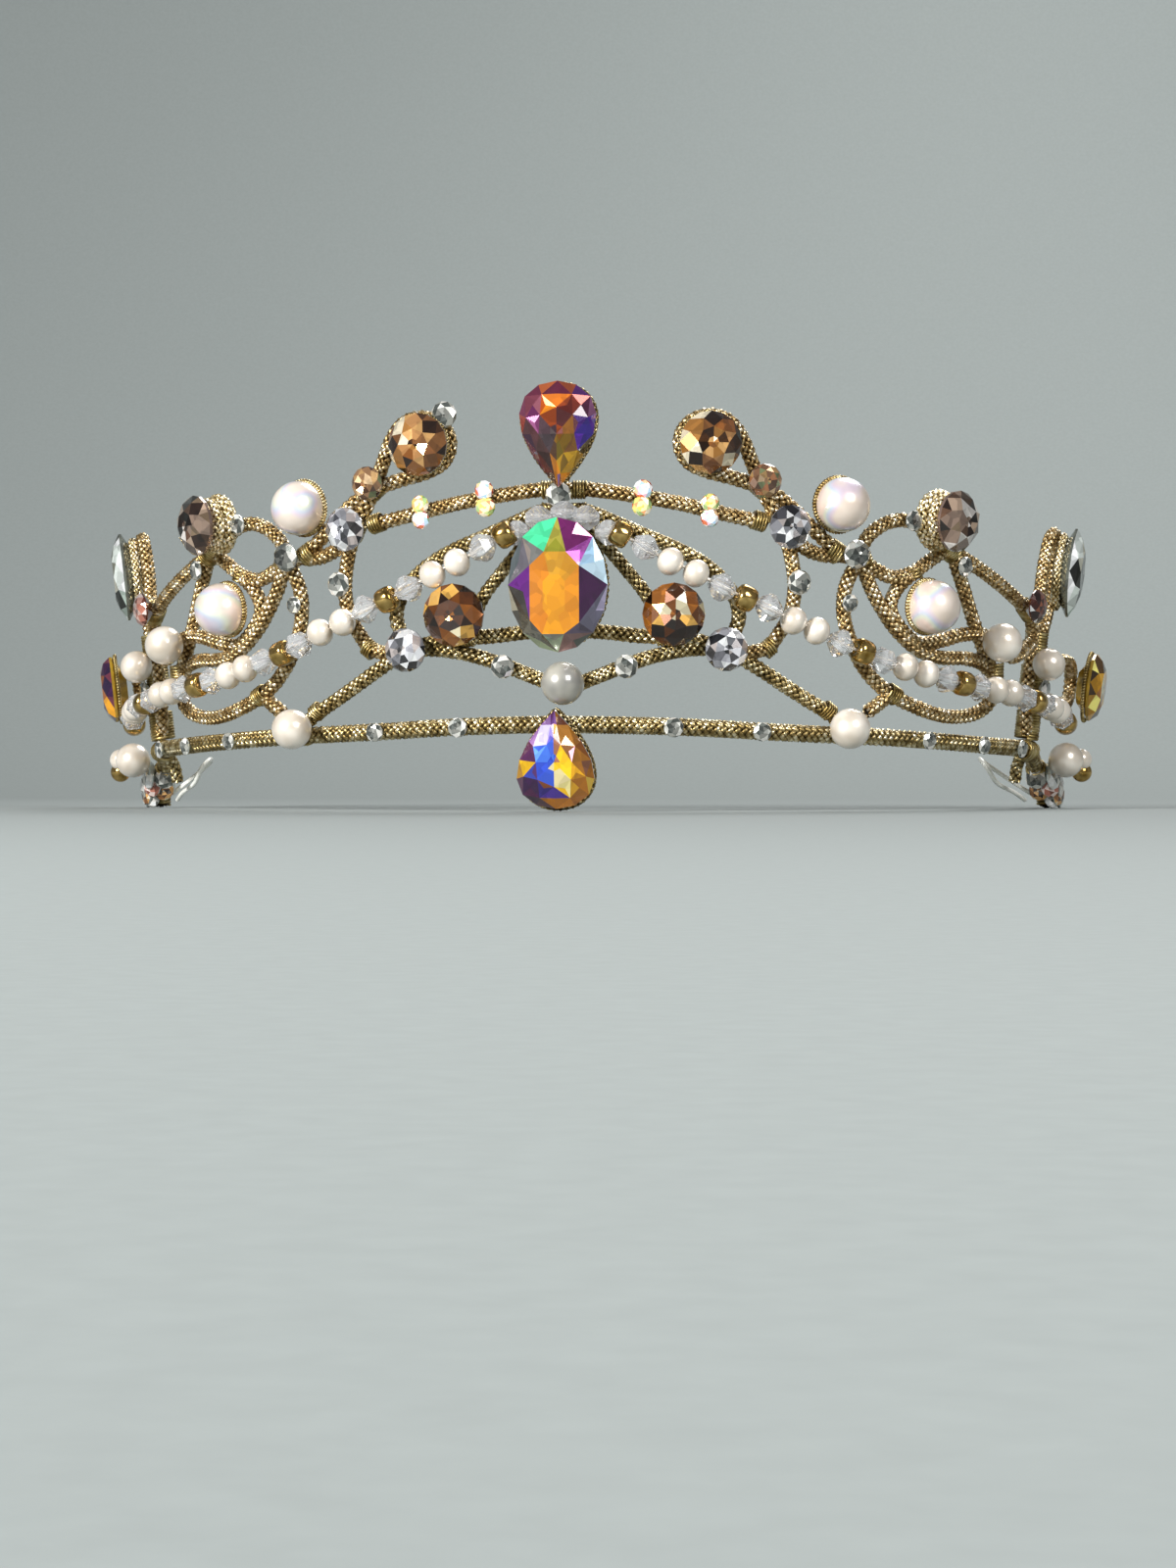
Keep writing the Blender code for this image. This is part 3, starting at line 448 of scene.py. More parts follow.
def smooth(points, step):
    """Points about one step apart on a smooth curve through the given ones."""
    ends = [2 * points[0] - points[1], *points, 2 * points[-1] - points[-2]]
    made = []
    for before, start, end, after in zip(ends, ends[1:], ends[2:], ends[3:]):
        pieces = max(1, round((end - start).length / step))
        for i in range(pieces):
            t = i / pieces
            bend = (2 * before - 5 * start + 4 * end - after) * t * t
            twist = (3 * start - before - 3 * end + after) * t * t * t
            made.append(0.5 * (2 * start + (end - before) * t + bend + twist))
    return [*made, points[-1]]


def standing(route, sign=1, step=0.8):
    """A route's smooth points on the standing tiara, or its mirror's where sign is -1, in metres."""
    return [STAND @ point for point in smooth([on_crown(sign * a, *rest) for a, *rest in route], step)]


def fill(tree, node, values):
    """Fills a node's sockets with values or links."""
    for key, value in values.items():
        source = value.outputs[0] if isinstance(value, bpy.types.Node) else value
        if isinstance(source, bpy.types.NodeSocket):
            tree.links.new(source, node.inputs[key])
        else:
            node.inputs[key].default_value = source


def add_node(tree, kind, values=None, stops=(), **settings):
    """Adds a node with its settings and colour stops, and fills its sockets."""
    made = tree.nodes.new(kind)
    for name, setting in settings.items():
        setattr(made, name, setting)
    fill(tree, made, values or {})
    for i, (position, colour) in enumerate(stops):
        elements = made.color_ramp.elements
        element = elements[i] if i < len(elements) else elements.new(position)
        element.position = position
        element.color = (*linear(colour), 1.0)
    return made


def add_tree(name, sockets):
    """A geometry tree with a geometry in and out and the named inputs, and its two end nodes."""
    tree = bpy.data.node_groups.new(name, "GeometryNodeTree")
    tree.interface.new_socket("Geometry", in_out="INPUT", socket_type="NodeSocketGeometry")
    for label, kind, default in sockets:
        made = tree.interface.new_socket(label, in_out="INPUT", socket_type="NodeSocket" + kind)
        if default is not None:
            made.default_value = default
    tree.interface.new_socket("Geometry", in_out="OUTPUT", socket_type="NodeSocketGeometry")
    return tree, tree.nodes.new("NodeGroupInput"), tree.nodes.new("NodeGroupOutput")


def close_tree(tree, geometry, start, end):
    """Ends a tree with real geometry in the piece's material."""
    real = add_node(tree, "GeometryNodeRealizeInstances", {"Geometry": geometry})
    values = {"Geometry": real, "Material": start.outputs["Material"]}
    painted = add_node(tree, "GeometryNodeSetMaterial", values)
    tree.links.new(painted.outputs[0], end.inputs[0])


def put(name, data):
    """Puts an object with this data in the scene."""
    made = bpy.data.objects.new(name, data)
    bpy.context.scene.collection.objects.link(made)
    return made


def grow(name, base, tree, values):
    """Runs a tree on a mesh, and gives the plain mesh that it makes."""
    carrier = put(name, base)
    modifier = carrier.modifiers.new(tree.name, "NODES")
    modifier.node_group = tree
    for item in tree.interface.items_tree:
        if item.in_out == "INPUT" and item.name in values:
            modifier[item.identifier] = values[item.name]
    graph = bpy.context.evaluated_depsgraph_get()
    mesh = bpy.data.meshes.new_from_object(carrier.evaluated_get(graph))
    bpy.data.objects.remove(carrier)
    bpy.data.meshes.remove(base)
    mesh.name = name
    return mesh


def add_piece(name, mesh, slot, nodes=(), look=None):
    """Puts a finished mesh in the scene, riding on the tiara's one body in place of some nodes."""
    if look:
        mesh.materials.append(finish(look))
    made = put(name, mesh)
    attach(made, "root")
    if nodes:
        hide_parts(*nodes)


def path_mesh(lines):
    """Lines of points in metres, with their radii in mm, as a wire mesh. One whose ends meet is closed."""
    vertices = []
    edges = []
    thickness = []
    for points, radius in lines:
        closed = (points[0] - points[-1]).length < 1e-7
        ring = points[:-1] if closed else points
        first = len(vertices)
        vertices += [tuple(point) for point in ring]
        thickness += [radius * MM] * len(ring)
        edges += [(first + i, first + i + 1) for i in range(len(ring) - 1)]
        if closed:
            edges.append((len(vertices) - 1, first))
    mesh = bpy.data.meshes.new("path")
    mesh.from_pydata(vertices, edges, [])
    mesh.attributes.new("thickness", "FLOAT", "POINT").data.foreach_set("value", thickness)
    return mesh


def mesh_from(work, name, soft=False):
    """The finished mesh of some working geometry, with rounded shading if it is soft."""
    mesh = bpy.data.meshes.new(name)
    work.to_mesh(mesh)
    work.free()
    if soft:
        mesh.shade_smooth()
    return mesh


# The sums behind a braid, as name, operation and two terms. A strand winds round its path one way or the
# other, and lies over a strand of the other way at one crossing and under it at the next.
BRAID_SUMS = (
    ("Strand", "MULTIPLY", "Thickness", "Strand share"), ("Way", "MODULO", "Number", "Ways"),
    ("Twice", "MULTIPLY", "Way", 2.0), ("Direction", "SUBTRACT", 1.0, "Twice"),
    ("Each way", "DIVIDE", "Strands", "Ways"), ("Pair", "DIVIDE", "Number", "Ways"),
    ("Place", "FLOOR", "Pair", 0.0), ("Part", "DIVIDE", "Place", "Each way"),
    ("Phase", "MULTIPLY", "Part", math.tau), ("Lead", "MULTIPLY", "Cell", "Each way"),
    ("Fitting turns", "DIVIDE", "Length", "Lead"), ("Whole turns", "ROUND", "Fitting turns", 0.0),
    ("Turns", "MAXIMUM", "Whole turns", 1.0), ("Turned", "MULTIPLY", "Along", "Turns"),
    ("Wound", "MULTIPLY", "Turned", math.tau), ("Way round", "MULTIPLY", "Wound", "Direction"),
    ("Angle", "ADD", "Way round", "Phase"), ("Crossings", "MULTIPLY", "Wound", "Each way"),
    ("Wave", "COSINE", "Crossings", 0.0), ("Over", "MULTIPLY", "Wave", "Direction"),
    ("Two ways", "SUBTRACT", "Ways", 1.0), ("Lift", "MULTIPLY", "Over", "Two ways"),
    ("Swing", "MULTIPLY", "Strand", 0.5), ("Lowered", "SUBTRACT", "Thickness", "Strand"),
    ("Middle", "SUBTRACT", "Lowered", "Swing"), ("Raised", "MULTIPLY", "Swing", "Lift"),
    ("Reach", "ADD", "Middle", "Raised"), ("Cosine", "COSINE", "Angle", 0.0), ("Sine", "SINE", "Angle", 0.0),
    ("Up", "MULTIPLY", "Reach", "Cosine"), ("Sideways", "MULTIPLY", "Reach", "Sine"),
    ("Depth", "MULTIPLY", "Strand", 1.9), ("Core", "SUBTRACT", "Thickness", "Depth"),
)


def braid_tree():
    """Strands that wind both ways round each path and pass over and under each other, round a core."""
    inputs = (
        ("Strands", "Int", 10), ("Ways", "Int", 2), ("Cell", "Float", 0.00097), ("Steps per cell", "Int", 4),
        ("Strand share", "Float", 0.27), ("Sides", "Int", 5), ("Material", "Material", None),
    )
    tree, start, end = add_tree("Braided cord", inputs)
    given = start.outputs
    values = {0: given["Cell"], 1: given["Steps per cell"]}
    step = add_node(tree, "ShaderNodeMath", values, operation="DIVIDE")
    curve = add_node(tree, "GeometryNodeMeshToCurve", {"Mesh": given["Geometry"]})
    curve = add_node(tree, "GeometryNodeResampleCurve", {"Curve": curve, "Length": step}, mode="LENGTH")
    values = {"Geometry": curve, "Amount": given["Strands"]}
    copies = add_node(tree, "GeometryNodeDuplicateElements", values, domain="SPLINE")
    values = {"Name": "thickness"}
    found = {name: given[name] for name in ("Strands", "Ways", "Cell", "Strand share")}
    found["Thickness"] = add_node(tree, "GeometryNodeInputNamedAttribute", values, data_type="FLOAT")
    found["Number"] = copies.outputs["Duplicate Index"]
    found["Length"] = add_node(tree, "GeometryNodeSplineLength").outputs["Length"]
    found["Along"] = add_node(tree, "GeometryNodeSplineParameter").outputs["Factor"]
    for name, operation, first, second in BRAID_SUMS:
        terms = {0: found.get(first, first), 1: found.get(second, second)}
        found[name] = add_node(tree, "ShaderNodeMath", terms, operation=operation)
    normal = add_node(tree, "GeometryNodeInputNormal")
    tangent = add_node(tree, "GeometryNodeInputTangent")
    side = add_node(tree, "ShaderNodeVectorMath", {0: tangent, 1: normal}, operation="CROSS_PRODUCT")
    up = add_node(tree, "ShaderNodeVectorMath", {0: normal, 3: found["Up"]}, operation="SCALE")
    sideways = add_node(tree, "ShaderNodeVectorMath", {0: side, 3: found["Sideways"]}, operation="SCALE")
    shift = add_node(tree, "ShaderNodeVectorMath", {0: up, 1: sideways}, operation="ADD")
    values = {"Resolution": given["Sides"], "Radius": 1.0}
    profile = add_node(tree, "GeometryNodeCurvePrimitiveCircle", values)
    parts = add_node(tree, "GeometryNodeJoinGeometry")
    # The strands first, then the core, whose lift of -1 gives it the darkest colour as painted shade between
    # them.
    for base, lift, radius, offset in (
        (copies, found["Lift"], found["Strand"], shift), (curve, -1.0, found["Core"], None),
    ):
        values = {"Geometry": base, "Name": "lift", "Value": lift}
        lines = add_node(
            tree, "GeometryNodeStoreNamedAttribute", values, data_type="FLOAT", domain="POINT"
        )
        if offset:
            lines = add_node(tree, "GeometryNodeSetPosition", {"Geometry": lines, "Offset": offset})
        values = {"Curve": lines, "Profile Curve": profile, "Scale": radius, "Fill Caps": True}
        swept = add_node(tree, "GeometryNodeCurveToMesh", values)
        tree.links.new(swept.outputs[0], parts.inputs[0])
    rounded = add_node(tree, "GeometryNodeSetShadeSmooth", {"Geometry": parts})
    close_tree(tree, rounded, start, end)
    return tree


def braided(name, lines, look, strands, cell, share, ways=1, steps=4, sides=5):
    """Strands wound or braided round lines with radii in mm. A cell is a stitch, or one turn to the next."""
    tree = bpy.data.node_groups.get("Braided cord") or braid_tree()
    values = {
        "Strands": strands,
        "Ways": ways,
        "Cell": cell,
        "Steps per cell": steps,
        "Strand share": share,
        "Sides": sides,
        "Material": finish(look),
    }
    return grow(name, path_mesh(lines), tree, values)


def bead_tree():
    """Copies of one bead at even distances along a path, each turned and shifted a little by chance."""
    inputs = (
        ("Bead", "Object", None), ("First", "Float", 0.002), ("Spacing", "Float", 0.019),
        ("Count", "Int", 5), ("Sway", "Float", 0.00012), ("Seed", "Int", 1), ("Material", "Material", None),
    )
    tree, start, end = add_tree("Beads on a thread", inputs)
    given = start.outputs
    curve = add_node(tree, "GeometryNodeMeshToCurve", {"Mesh": given["Geometry"]})
    points = add_node(tree, "GeometryNodePoints", {"Count": given["Count"]})
    index = add_node(tree, "GeometryNodeInputIndex")
    spaced = add_node(tree, "ShaderNodeMath", {0: index, 1: given["Spacing"]}, operation="MULTIPLY")
    distance = add_node(tree, "ShaderNodeMath", {0: spaced, 1: given["First"]}, operation="ADD")
    values = {"Curves": curve, "Length": distance}
    sample = add_node(tree, "GeometryNodeSampleCurve", values, mode="LENGTH")
    values = {"Min": (-1.0, -1.0, -1.0), "Seed": given["Seed"]}
    chance = add_node(tree, "FunctionNodeRandomValue", values, data_type="FLOAT_VECTOR")
    drift = add_node(tree, "ShaderNodeVectorMath", {0: chance, 3: given["Sway"]}, operation="SCALE")
    values = {"Geometry": points, "Position": sample.outputs["Position"], "Offset": drift}
    placed = add_node(tree, "GeometryNodeSetPosition", values)
    values = {"Vector": sample.outputs["Tangent"]}
    aligned = add_node(tree, "FunctionNodeAlignRotationToVector", values, axis="Z")
    copied = add_turned_copies(tree, placed, given["Bead"], aligned, given["Seed"], 1.0)
    close_tree(tree, copied, start, end)
    return tree


def crystal_tree():
    """Copies of one small stone on marked points, each facing its own way and of its own size."""
    inputs = (("Stone", "Object", None), ("Seed", "Int", 3), ("Material", "Material", None))
    tree, start, end = add_tree("Small crystals", inputs)
    given = start.outputs
    points = add_node(tree, "GeometryNodeMeshToPoints", {"Mesh": given["Geometry"]})
    facing = add_node(
        tree, "GeometryNodeInputNamedAttribute", {"Name": "facing"}, data_type="FLOAT_VECTOR"
    )
    size = add_node(tree, "GeometryNodeInputNamedAttribute", {"Name": "size"}, data_type="FLOAT")
    aligned = add_node(tree, "FunctionNodeAlignRotationToVector", {"Vector": facing}, axis="Z")
    copied = add_turned_copies(tree, points, given["Stone"], aligned, given["Seed"], size)
    close_tree(tree, copied, start, end)
    return tree


def add_turned_copies(tree, points, source, aligned, seed, size):
    """Puts a copy of an object on each point, rolled about its own axis by chance."""
    roll = add_node(tree, "FunctionNodeRandomValue", {3: math.tau, "Seed": seed}, data_type="FLOAT")
    values = {"Axis": (0.0, 0.0, 1.0), "Angle": roll.outputs[1]}
    spin = add_node(tree, "FunctionNodeAxisAngleToRotation", values)
    values = {"Rotation": aligned, "Rotate By": spin}
    turned = add_node(tree, "FunctionNodeRotateRotation", values, rotation_space="LOCAL")
    shape = add_node(tree, "GeometryNodeObjectInfo", {"Object": source}).outputs["Geometry"]
    values = {"Points": points, "Instance": shape, "Rotation": turned}
    if size != 1.0:
        values["Scale"] = size
    return add_node(tree, "GeometryNodeInstanceOnPoints", values)


def new_material(name):
    """An empty material, its tree, its shader and its object coordinates."""
    made = bpy.data.materials.new(name)
    made.use_nodes = True
    place = add_node(made.node_tree, "ShaderNodeTexCoord").outputs["Object"]
    return made, made.node_tree, made.node_tree.nodes["Principled BSDF"], place


def lame_braid(name, deep, shade, middle, bright, glint):
    """Lame yarn: film with a vapour of gold, wrapped round a fibre and braided."""
    # The colour holds painted light and shade: stitches on top are painted bright as painted highlights, and
    # the crossings and the core are painted dark as painted shade. A noise paints glints at random, so that
    # some stitches flash nearly white beside others that stay brown.
    made, tree, shader, place = new_material(name)
    lift = add_node(tree, "ShaderNodeAttribute", attribute_name="lift").outputs["Fac"]
    values = {"Value": lift, "From Min": -1.0, "From Max": 1.0, "To Min": -0.05, "To Max": 0.8}
    height = add_node(tree, "ShaderNodeMapRange", values)
    values = {"Vector": place, "Scale": 1 / (1.3 * MM), "Detail": 1.0}
    stitch = add_node(tree, "ShaderNodeTexNoise", values)
    values = {"Value": stitch, "From Min": 0.34, "From Max": 0.66, "To Min": -0.13, "To Max": 0.24}
    painted_glints = add_node(tree, "ShaderNodeMapRange", values)
    tone = add_node(tree, "ShaderNodeMath", {0: height, 1: painted_glints}, operation="ADD")
    # The deep and shade stops are painted shade, the bright and glint stops painted highlights and glints.
    stops = ((0.0, deep), (0.3, shade), (0.55, middle), (0.78, bright), (0.98, glint))
    colour = add_node(tree, "ShaderNodeValToRGB", {"Fac": tone}, stops)
    values |= {"To Min": 0.44, "To Max": 0.28}
    gloss = add_node(tree, "ShaderNodeMapRange", values)
    fibre = add_node(tree, "ShaderNodeTexNoise", {"Vector": place, "Scale": 1 / (0.3 * MM), "Detail": 2.0})
    relief = add_node(tree, "ShaderNodeBump", {"Strength": 0.4, "Distance": 0.00004, "Height": fibre})
    fill(tree, shader, {"Base Color": colour, "Roughness": gloss, "Normal": relief, "Metallic": 0.9})
    return made


def foiled_glass(name, metal, polish, dark, leaning=True):
    """Cut lead crystal with a mirror foil on its back, polished with cerium on felt."""
    # Each facet shows its own piece of foil under a clear skin. Its colour is partly the glass's own and
    # partly painted reflection, and cells of darker and brighter colour are painted reflections of the cuts
    # on the back.
    made, tree, shader, place = new_material(name)
    foil = add_node(tree, "ShaderNodeAttribute", attribute_name="foil")
    cuts = add_node(tree, "ShaderNodeTexVoronoi", {"Vector": place, "Scale": 1 / (1.5 * MM)})
    parts = add_node(tree, "ShaderNodeSeparateColor", {"Color": cuts.outputs["Color"]})
    # The cells scale the foil colour from dark up to 1.1: painted reflections.
    depth = add_node(tree, "ShaderNodeMapRange", {"Value": parts, "To Min": dark, "To Max": 1.1})
    colour = add_node(tree, "ShaderNodeVectorMath", {0: foil, 3: depth}, operation="SCALE")
    if leaning:
        glint = add_node(tree, "ShaderNodeAttribute", attribute_name="glint")
        fill(tree, shader, {"Normal": glint.outputs["Vector"]})
    fill(tree, shader, {"Base Color": colour, "Metallic": metal, "Roughness": polish})
    fill(tree, shader, {"Coat Weight": 1.0, "Coat Roughness": 0.02, "Coat IOR": 1.55})
    return made


def plain_glass(name, tint, roughness, clear):
    """Clear crown glass, machine cut and fire polished, or drawn nylon line."""
    # It bends what lies behind it, with bright edges where its faces meet.
    made, tree, shader, place = new_material(name)
    haze = add_node(tree, "ShaderNodeTexNoise", {"Vector": place, "Scale": 1 / (0.9 * MM)})
    values = {"Value": haze, "From Min": 0.3, "From Max": 0.7}
    values |= {"To Min": 0.5 * roughness, "To Max": 1.5 * roughness}
    gloss = add_node(tree, "ShaderNodeMapRange", values)
    fill(tree, shader, {"Base Color": (*linear(tint), 1.0), "Roughness": gloss})
    fill(tree, shader, {"Transmission Weight": clear, "IOR": 1.52})
    return made


def pearl_lacquer(name, shade, light, rainbow=0.0):
    """Imitation pearl: a moulded bead dipped in many coats of fish-silver lacquer."""
    # It has a deep soft gloss with a sharper skin over it, and its hue drifts a little.
    made, tree, shader, place = new_material(name)
    cloud = add_node(tree, "ShaderNodeTexNoise", {"Vector": place, "Scale": 1 / (2.6 * MM), "Detail": 1.0})
    blush = add_node(tree, "ShaderNodeValToRGB", {"Fac": cloud}, ((0.3, shade), (0.7, light)))
    drift = add_node(tree, "ShaderNodeTexNoise", {"Vector": place, "Scale": 1 / (5.0 * MM), "Detail": 0.0})
    stops = ((0.36, "#e4cfc0"), (0.44, "#cdb8dc"), (0.5, "#a9c4ec"), (0.56, "#d4e6d0"), (0.64, "#f0d0c4"))
    hues = add_node(tree, "ShaderNodeValToRGB", {"Fac": drift}, stops)
    colour = add_node(tree, "ShaderNodeMix", {0: rainbow, 6: blush, 7: hues}, data_type="RGBA").outputs[2]
    fill(tree, shader, {"Base Color": colour, "Metallic": 0.3, "Roughness": 0.3, "Subsurface Weight": 0.1})
    fill(tree, shader, {"Subsurface Radius": (0.6, 0.5, 0.4), "Subsurface Scale": 0.0008})
    fill(tree, shader, {"Coat Weight": 1.0, "Coat Roughness": 0.07, "Coat IOR": 1.6})
    return made


def gilt_bead(name, deep, bright):
    """Brass, stamped and gilded, with a little tarnish in its hollows."""
    # It mirrors the room in warm yellow that turns browner in patches.
    made, tree, shader, place = new_material(name)
    tarnish = add_node(tree, "ShaderNodeTexNoise", {"Vector": place, "Scale": 1 / (1.2 * MM)})
    colour = add_node(tree, "ShaderNodeValToRGB", {"Fac": tarnish}, ((0.3, deep), (0.7, bright)))
    fill(tree, shader, {"Base Color": colour, "Metallic": 1.0, "Roughness": 0.16})
    return made


def studio_paper(name, tone):
    """Matt background paper from pressed pulp."""
    # Its grain is barely seen and it has no shine.
    made, tree, shader, place = new_material(name)
    grain = add_node(tree, "ShaderNodeTexNoise", {"Vector": place, "Scale": 1 / (0.8 * MM), "Detail": 3.0})
    values = {"Value": grain, "From Min": 0.3, "From Max": 0.7, "To Min": 0.97, "To Max": 1.03}
    shade = add_node(tree, "ShaderNodeMapRange", values)
    colour = add_node(tree, "ShaderNodeVectorMath", {0: tuple(tone), 3: shade}, operation="SCALE")
    fill(tree, shader, {"Base Color": colour, "Roughness": 0.85})
    return made


# Each finish: its maker and what the maker is given.
FINISHES = {
    # In each lame braid and thread, the first colour is painted shade in the crossings and the last two are
    # painted highlights and glints on the stitches.
    "warm_lame_braid": (lame_braid, "#1e1509", "#5a4424", "#94784a", "#d0b888", "#fff6e4"),
    "olive_lame_braid": (lame_braid, "#17120a", "#4c3e22", "#806c40", "#bca878", "#faf0d0"),
    "pale_lame_braid": (lame_braid, "#3c2c12", "#8c7444", "#c8b484", "#f0e2bc", "#fffaf0"),
    "lame_thread": (lame_braid, "#443014", "#86703e", "#beaa74", "#e8dab0", "#fffae6"),
    "foiled_crystal": (foiled_glass, 0.5, 0.12, 0.55),
    "rainbow_foiled_crystal": (foiled_glass, 0.35, 0.16, 0.72),
    "silvered_crystal": (foiled_glass, 0.3, 0.14, 0.9, False),
    "clear_crystal": (plain_glass, "#ffffff", 0.03, 0.82),
    "nylon_line": (plain_glass, "#fffff6", 0.12, 0.1),
    "cream_pearl_lacquer": (pearl_lacquer, "#cfc2b0", "#f2e9dc"),
    # The pearl finish darkened to grey as painted shade, for the middle pearl.
    "grey_pearl_lacquer": (pearl_lacquer, "#8c8a84", "#b8b4a8"),
    "rainbow_pearl_lacquer": (pearl_lacquer, "#d0c4b4", "#f2e9dc", 0.5),
    "gilt_brass": (gilt_bead, "#8c6a2c", "#e4c078"),
}


def finish(name):
    """The finish of this name, made on first use."""
    found = bpy.data.materials.get(name)
    if found:
        return found
    maker, *given = FINISHES[name]
    return maker(name, *given)


def oval_outline(width, height, count, shift=0.0):
    """Points round an oval, counted from its right."""
    turns = [math.tau * (i + shift) / count for i in range(count)]
    return [(width / 2 * math.cos(t), height / 2 * math.sin(t)) for t in turns]


def pear_outline(width, height, count, shift=0.0, tip=1):
    """Points round a pear with its tip at the top, or at the bottom where tip is -1, from its right."""
    turns = [math.tau * (i + shift) / count for i in range(count)]
    reaches = [0.65 * width * abs(math.sin(t / 2 - tip * math.pi / 4)) for t in turns]
    return [(reach * math.cos(t), height / 2 * math.sin(t)) for reach, t in zip(reaches, turns)]


def upturned_pear(width, height, count, shift=0.0):
    """Points round a pear with its tip at the bottom, counted from its right."""
    return pear_outline(width, height, count, shift, -1)


def navette_outline(width, height, count, shift=0.0):
    """Points round a boat shape with a tip at each end, from two arcs, counted from its right."""
    radius = (height * height + width * width) / (4 * width)
    made = []
    for i in range(count):
        turn = math.tau * (i + shift) / count
        y = height / 2 * math.sin(turn)
        reach = math.sqrt(radius * radius - y * y) - (radius - width / 2)
        made.append((math.copysign(reach, math.cos(turn)), y))
    return made


class Cut:
    """Points and faces of a stone as they are made: each face with its kind and its place round the stone."""

    def __init__(self, outline, size, facets, depth, girdle, crown):
        width, height = size
        rings = {
            "back": (outline(0.5 * width, 0.5 * height, facets), 0.0),
            "low": (outline(width, height, 2 * facets), 0.5 * depth),
            "girdle": (outline(width, height, 2 * facets), girdle * depth),
        }
        self.facets = facets
        self.points = []
        self.faces = []
        self.rings = {}
        for name, (places, z) in (rings | crown).items():
            self.rings[name] = (len(self.points), len(places))
            self.points += [(x, y, z) for x, y in places]

    def add(self, kind, order, *corners):
        """Adds a face from (ring, index) corners."""
        face = []
        for name, i in corners:
            first, count = self.rings[name]
            face.append(first + i % count)
        self.faces.append((kind, order, face))

    def add_back(self, i):
        """Adds the part of the tapering back that lies under one facet."""
        self.add("back", i, ("back", i), ("low", 2 * i), ("low", 2 * i + 1))
        self.add("back", i, ("back", i), ("low", 2 * i + 1), ("back", i + 1))
        self.add("back", i, ("back", i + 1), ("low", 2 * i + 1), ("low", 2 * i + 2))

    def close(self):
        """Adds the narrow edge and the flat end of the back."""
        for i in range(2 * self.facets):
            self.add("edge", i, ("low", i), ("low", i + 1), ("girdle", i + 1), ("girdle", i))
        self.add("back", 0, *[("back", i) for i in reversed(range(self.facets))])


def brilliant_cut(outline, size, facets, depth, table):
    """A brilliant: girdle facets, kites, stars and a table with the back's cuts in it."""
    width, height = size
    kite = (table + 1.1) / 2
    inner = 0.36 * table
    crown = {
        "kite": (outline(kite * width, kite * height, facets, 0.5), 0.86 * depth),
        "table": (outline(table * width, table * height, facets), depth),
        "inner": (outline(inner * width, inner * height, facets), depth),
        "centre": ([(0.0, 0.0)], depth),
    }
    cut = Cut(outline, size, facets, depth, 0.6, crown)
    for i in range(facets):
        cut.add_back(i)
        cut.add("kite", i, ("kite", i - 1), ("girdle", 2 * i), ("kite", i), ("table", i))
        cut.add("star", i, ("table", i), ("kite", i), ("table", i + 1))
        cut.add("girdle", 2 * i, ("kite", i), ("girdle", 2 * i), ("girdle", 2 * i + 1))
        cut.add("girdle", 2 * i + 1, ("kite", i), ("girdle", 2 * i + 1), ("girdle", 2 * i + 2))
        cut.add("table", i, ("table", i), ("table", i + 1), ("inner", i + 1), ("inner", i))
        cut.add("table", i + 1, ("inner", i), ("inner", i + 1), ("centre", 0))
    cut.close()
    return cut


def step_cut(outline, size, facets, depth, _):
    """The oval: a long eight-sided table, and triangles that point in and out by turns round it."""
    inner = [(0.45 * x - 0.2, 0.5 * y - 0.8) for x, y in OVAL_TABLE]
    cut = Cut(outline, size, facets, depth, 0.58, {"table": (OVAL_TABLE, depth), "inner": (inner, depth)})
    for i in range(facets):
        cut.add_back(i)
        corners = [("girdle", 2 * i + step) for step in range(3)]
        cut.add("kite", i, *corners, ("table", i + 1))
        cut.add("star", i, ("table", i + 1), ("girdle", 2 * i + 2), ("table", i + 2))
        cut.add("table", i, ("table", i), ("table", i + 1), ("inner", i + 1), ("inner", i))
    cut.close()
    cut.add("table", 6, *[("inner", i) for i in range(facets)])
    return cut


KINDS = ("back", "edge", "girdle", "kite", "star", "table")
# The most places that one kind of facet has round a stone.
PLACES = 16
# Where the foil's colours go by the kind of facet, a stone that reaches further than this from its middle,
# in mm, shows several pieces of foil in each kite and star.
BIG_REACH = 4.5
# How far the mirror leans in a back or edge facet, as a share of its lean in the crown.
BACK_LEAN = 0.1


def stone_mesh(name, foil_colours, edge, cut, lean, place):
    """A cut stone whose facets carry the foil's colour, with its painted reflections, and the way their
    mirror leans.
    """
    chance = random.Random(name)
    work = bmesh.new()
    corners = [work.verts.new(point) for point in cut.points]
    foil = work.faces.layers.float_color.new("foil")
    glint = work.faces.layers.float_vector.new("glint")
    # A face keeps its kind and its place in the number of its material until it has its colour.
    for kind, order, face in cut.faces:
        made = work.faces.new([corners[i] for i in face])
        made.material_index = PLACES * KINDS.index(kind) + order % PLACES
    bmesh.ops.recalc_face_normals(work, faces=work.faces)
    by_kind = isinstance(foil_colours, dict)
    if by_kind and max(x for x, _, _ in cut.points) > BIG_REACH:
        big = [face for face in work.faces if KINDS[face.material_index // PLACES] in ("kite", "star")]
        bmesh.ops.poke(work, faces=big)
    to_world = place.to_3x3().normalized()
    for face in work.faces:
        kind = KINDS[face.material_index // PLACES]
        order = face.material_index % PLACES
        face.material_index = 0
        tilt = Vector((chance.uniform(-1, 1), chance.uniform(-1, 1), 0.0)) * lean
        colour = foil_colours
        if kind in ("back", "edge"):
            colour = edge
            tilt *= BACK_LEAN
        elif by_kind:
            colour = foil_colours[kind][order % len(foil_colours[kind])]
        if not isinstance(colour, str):
            colour = chance.choice(colour)
        face[foil] = (*linear(colour), 1.0)
        face[glint] = to_world @ (face.normal + tilt).normalized()
    work.transform(place)
    return mesh_from(work, name)


def ball_mesh(name, diameter, place):
    """A round pearl with closed poles, in metres."""
    work = bmesh.new()
    bmesh.ops.create_uvsphere(work, u_segments=32, v_segments=20, radius=diameter / 2)
    work.transform(place)
    return mesh_from(work, name, True)


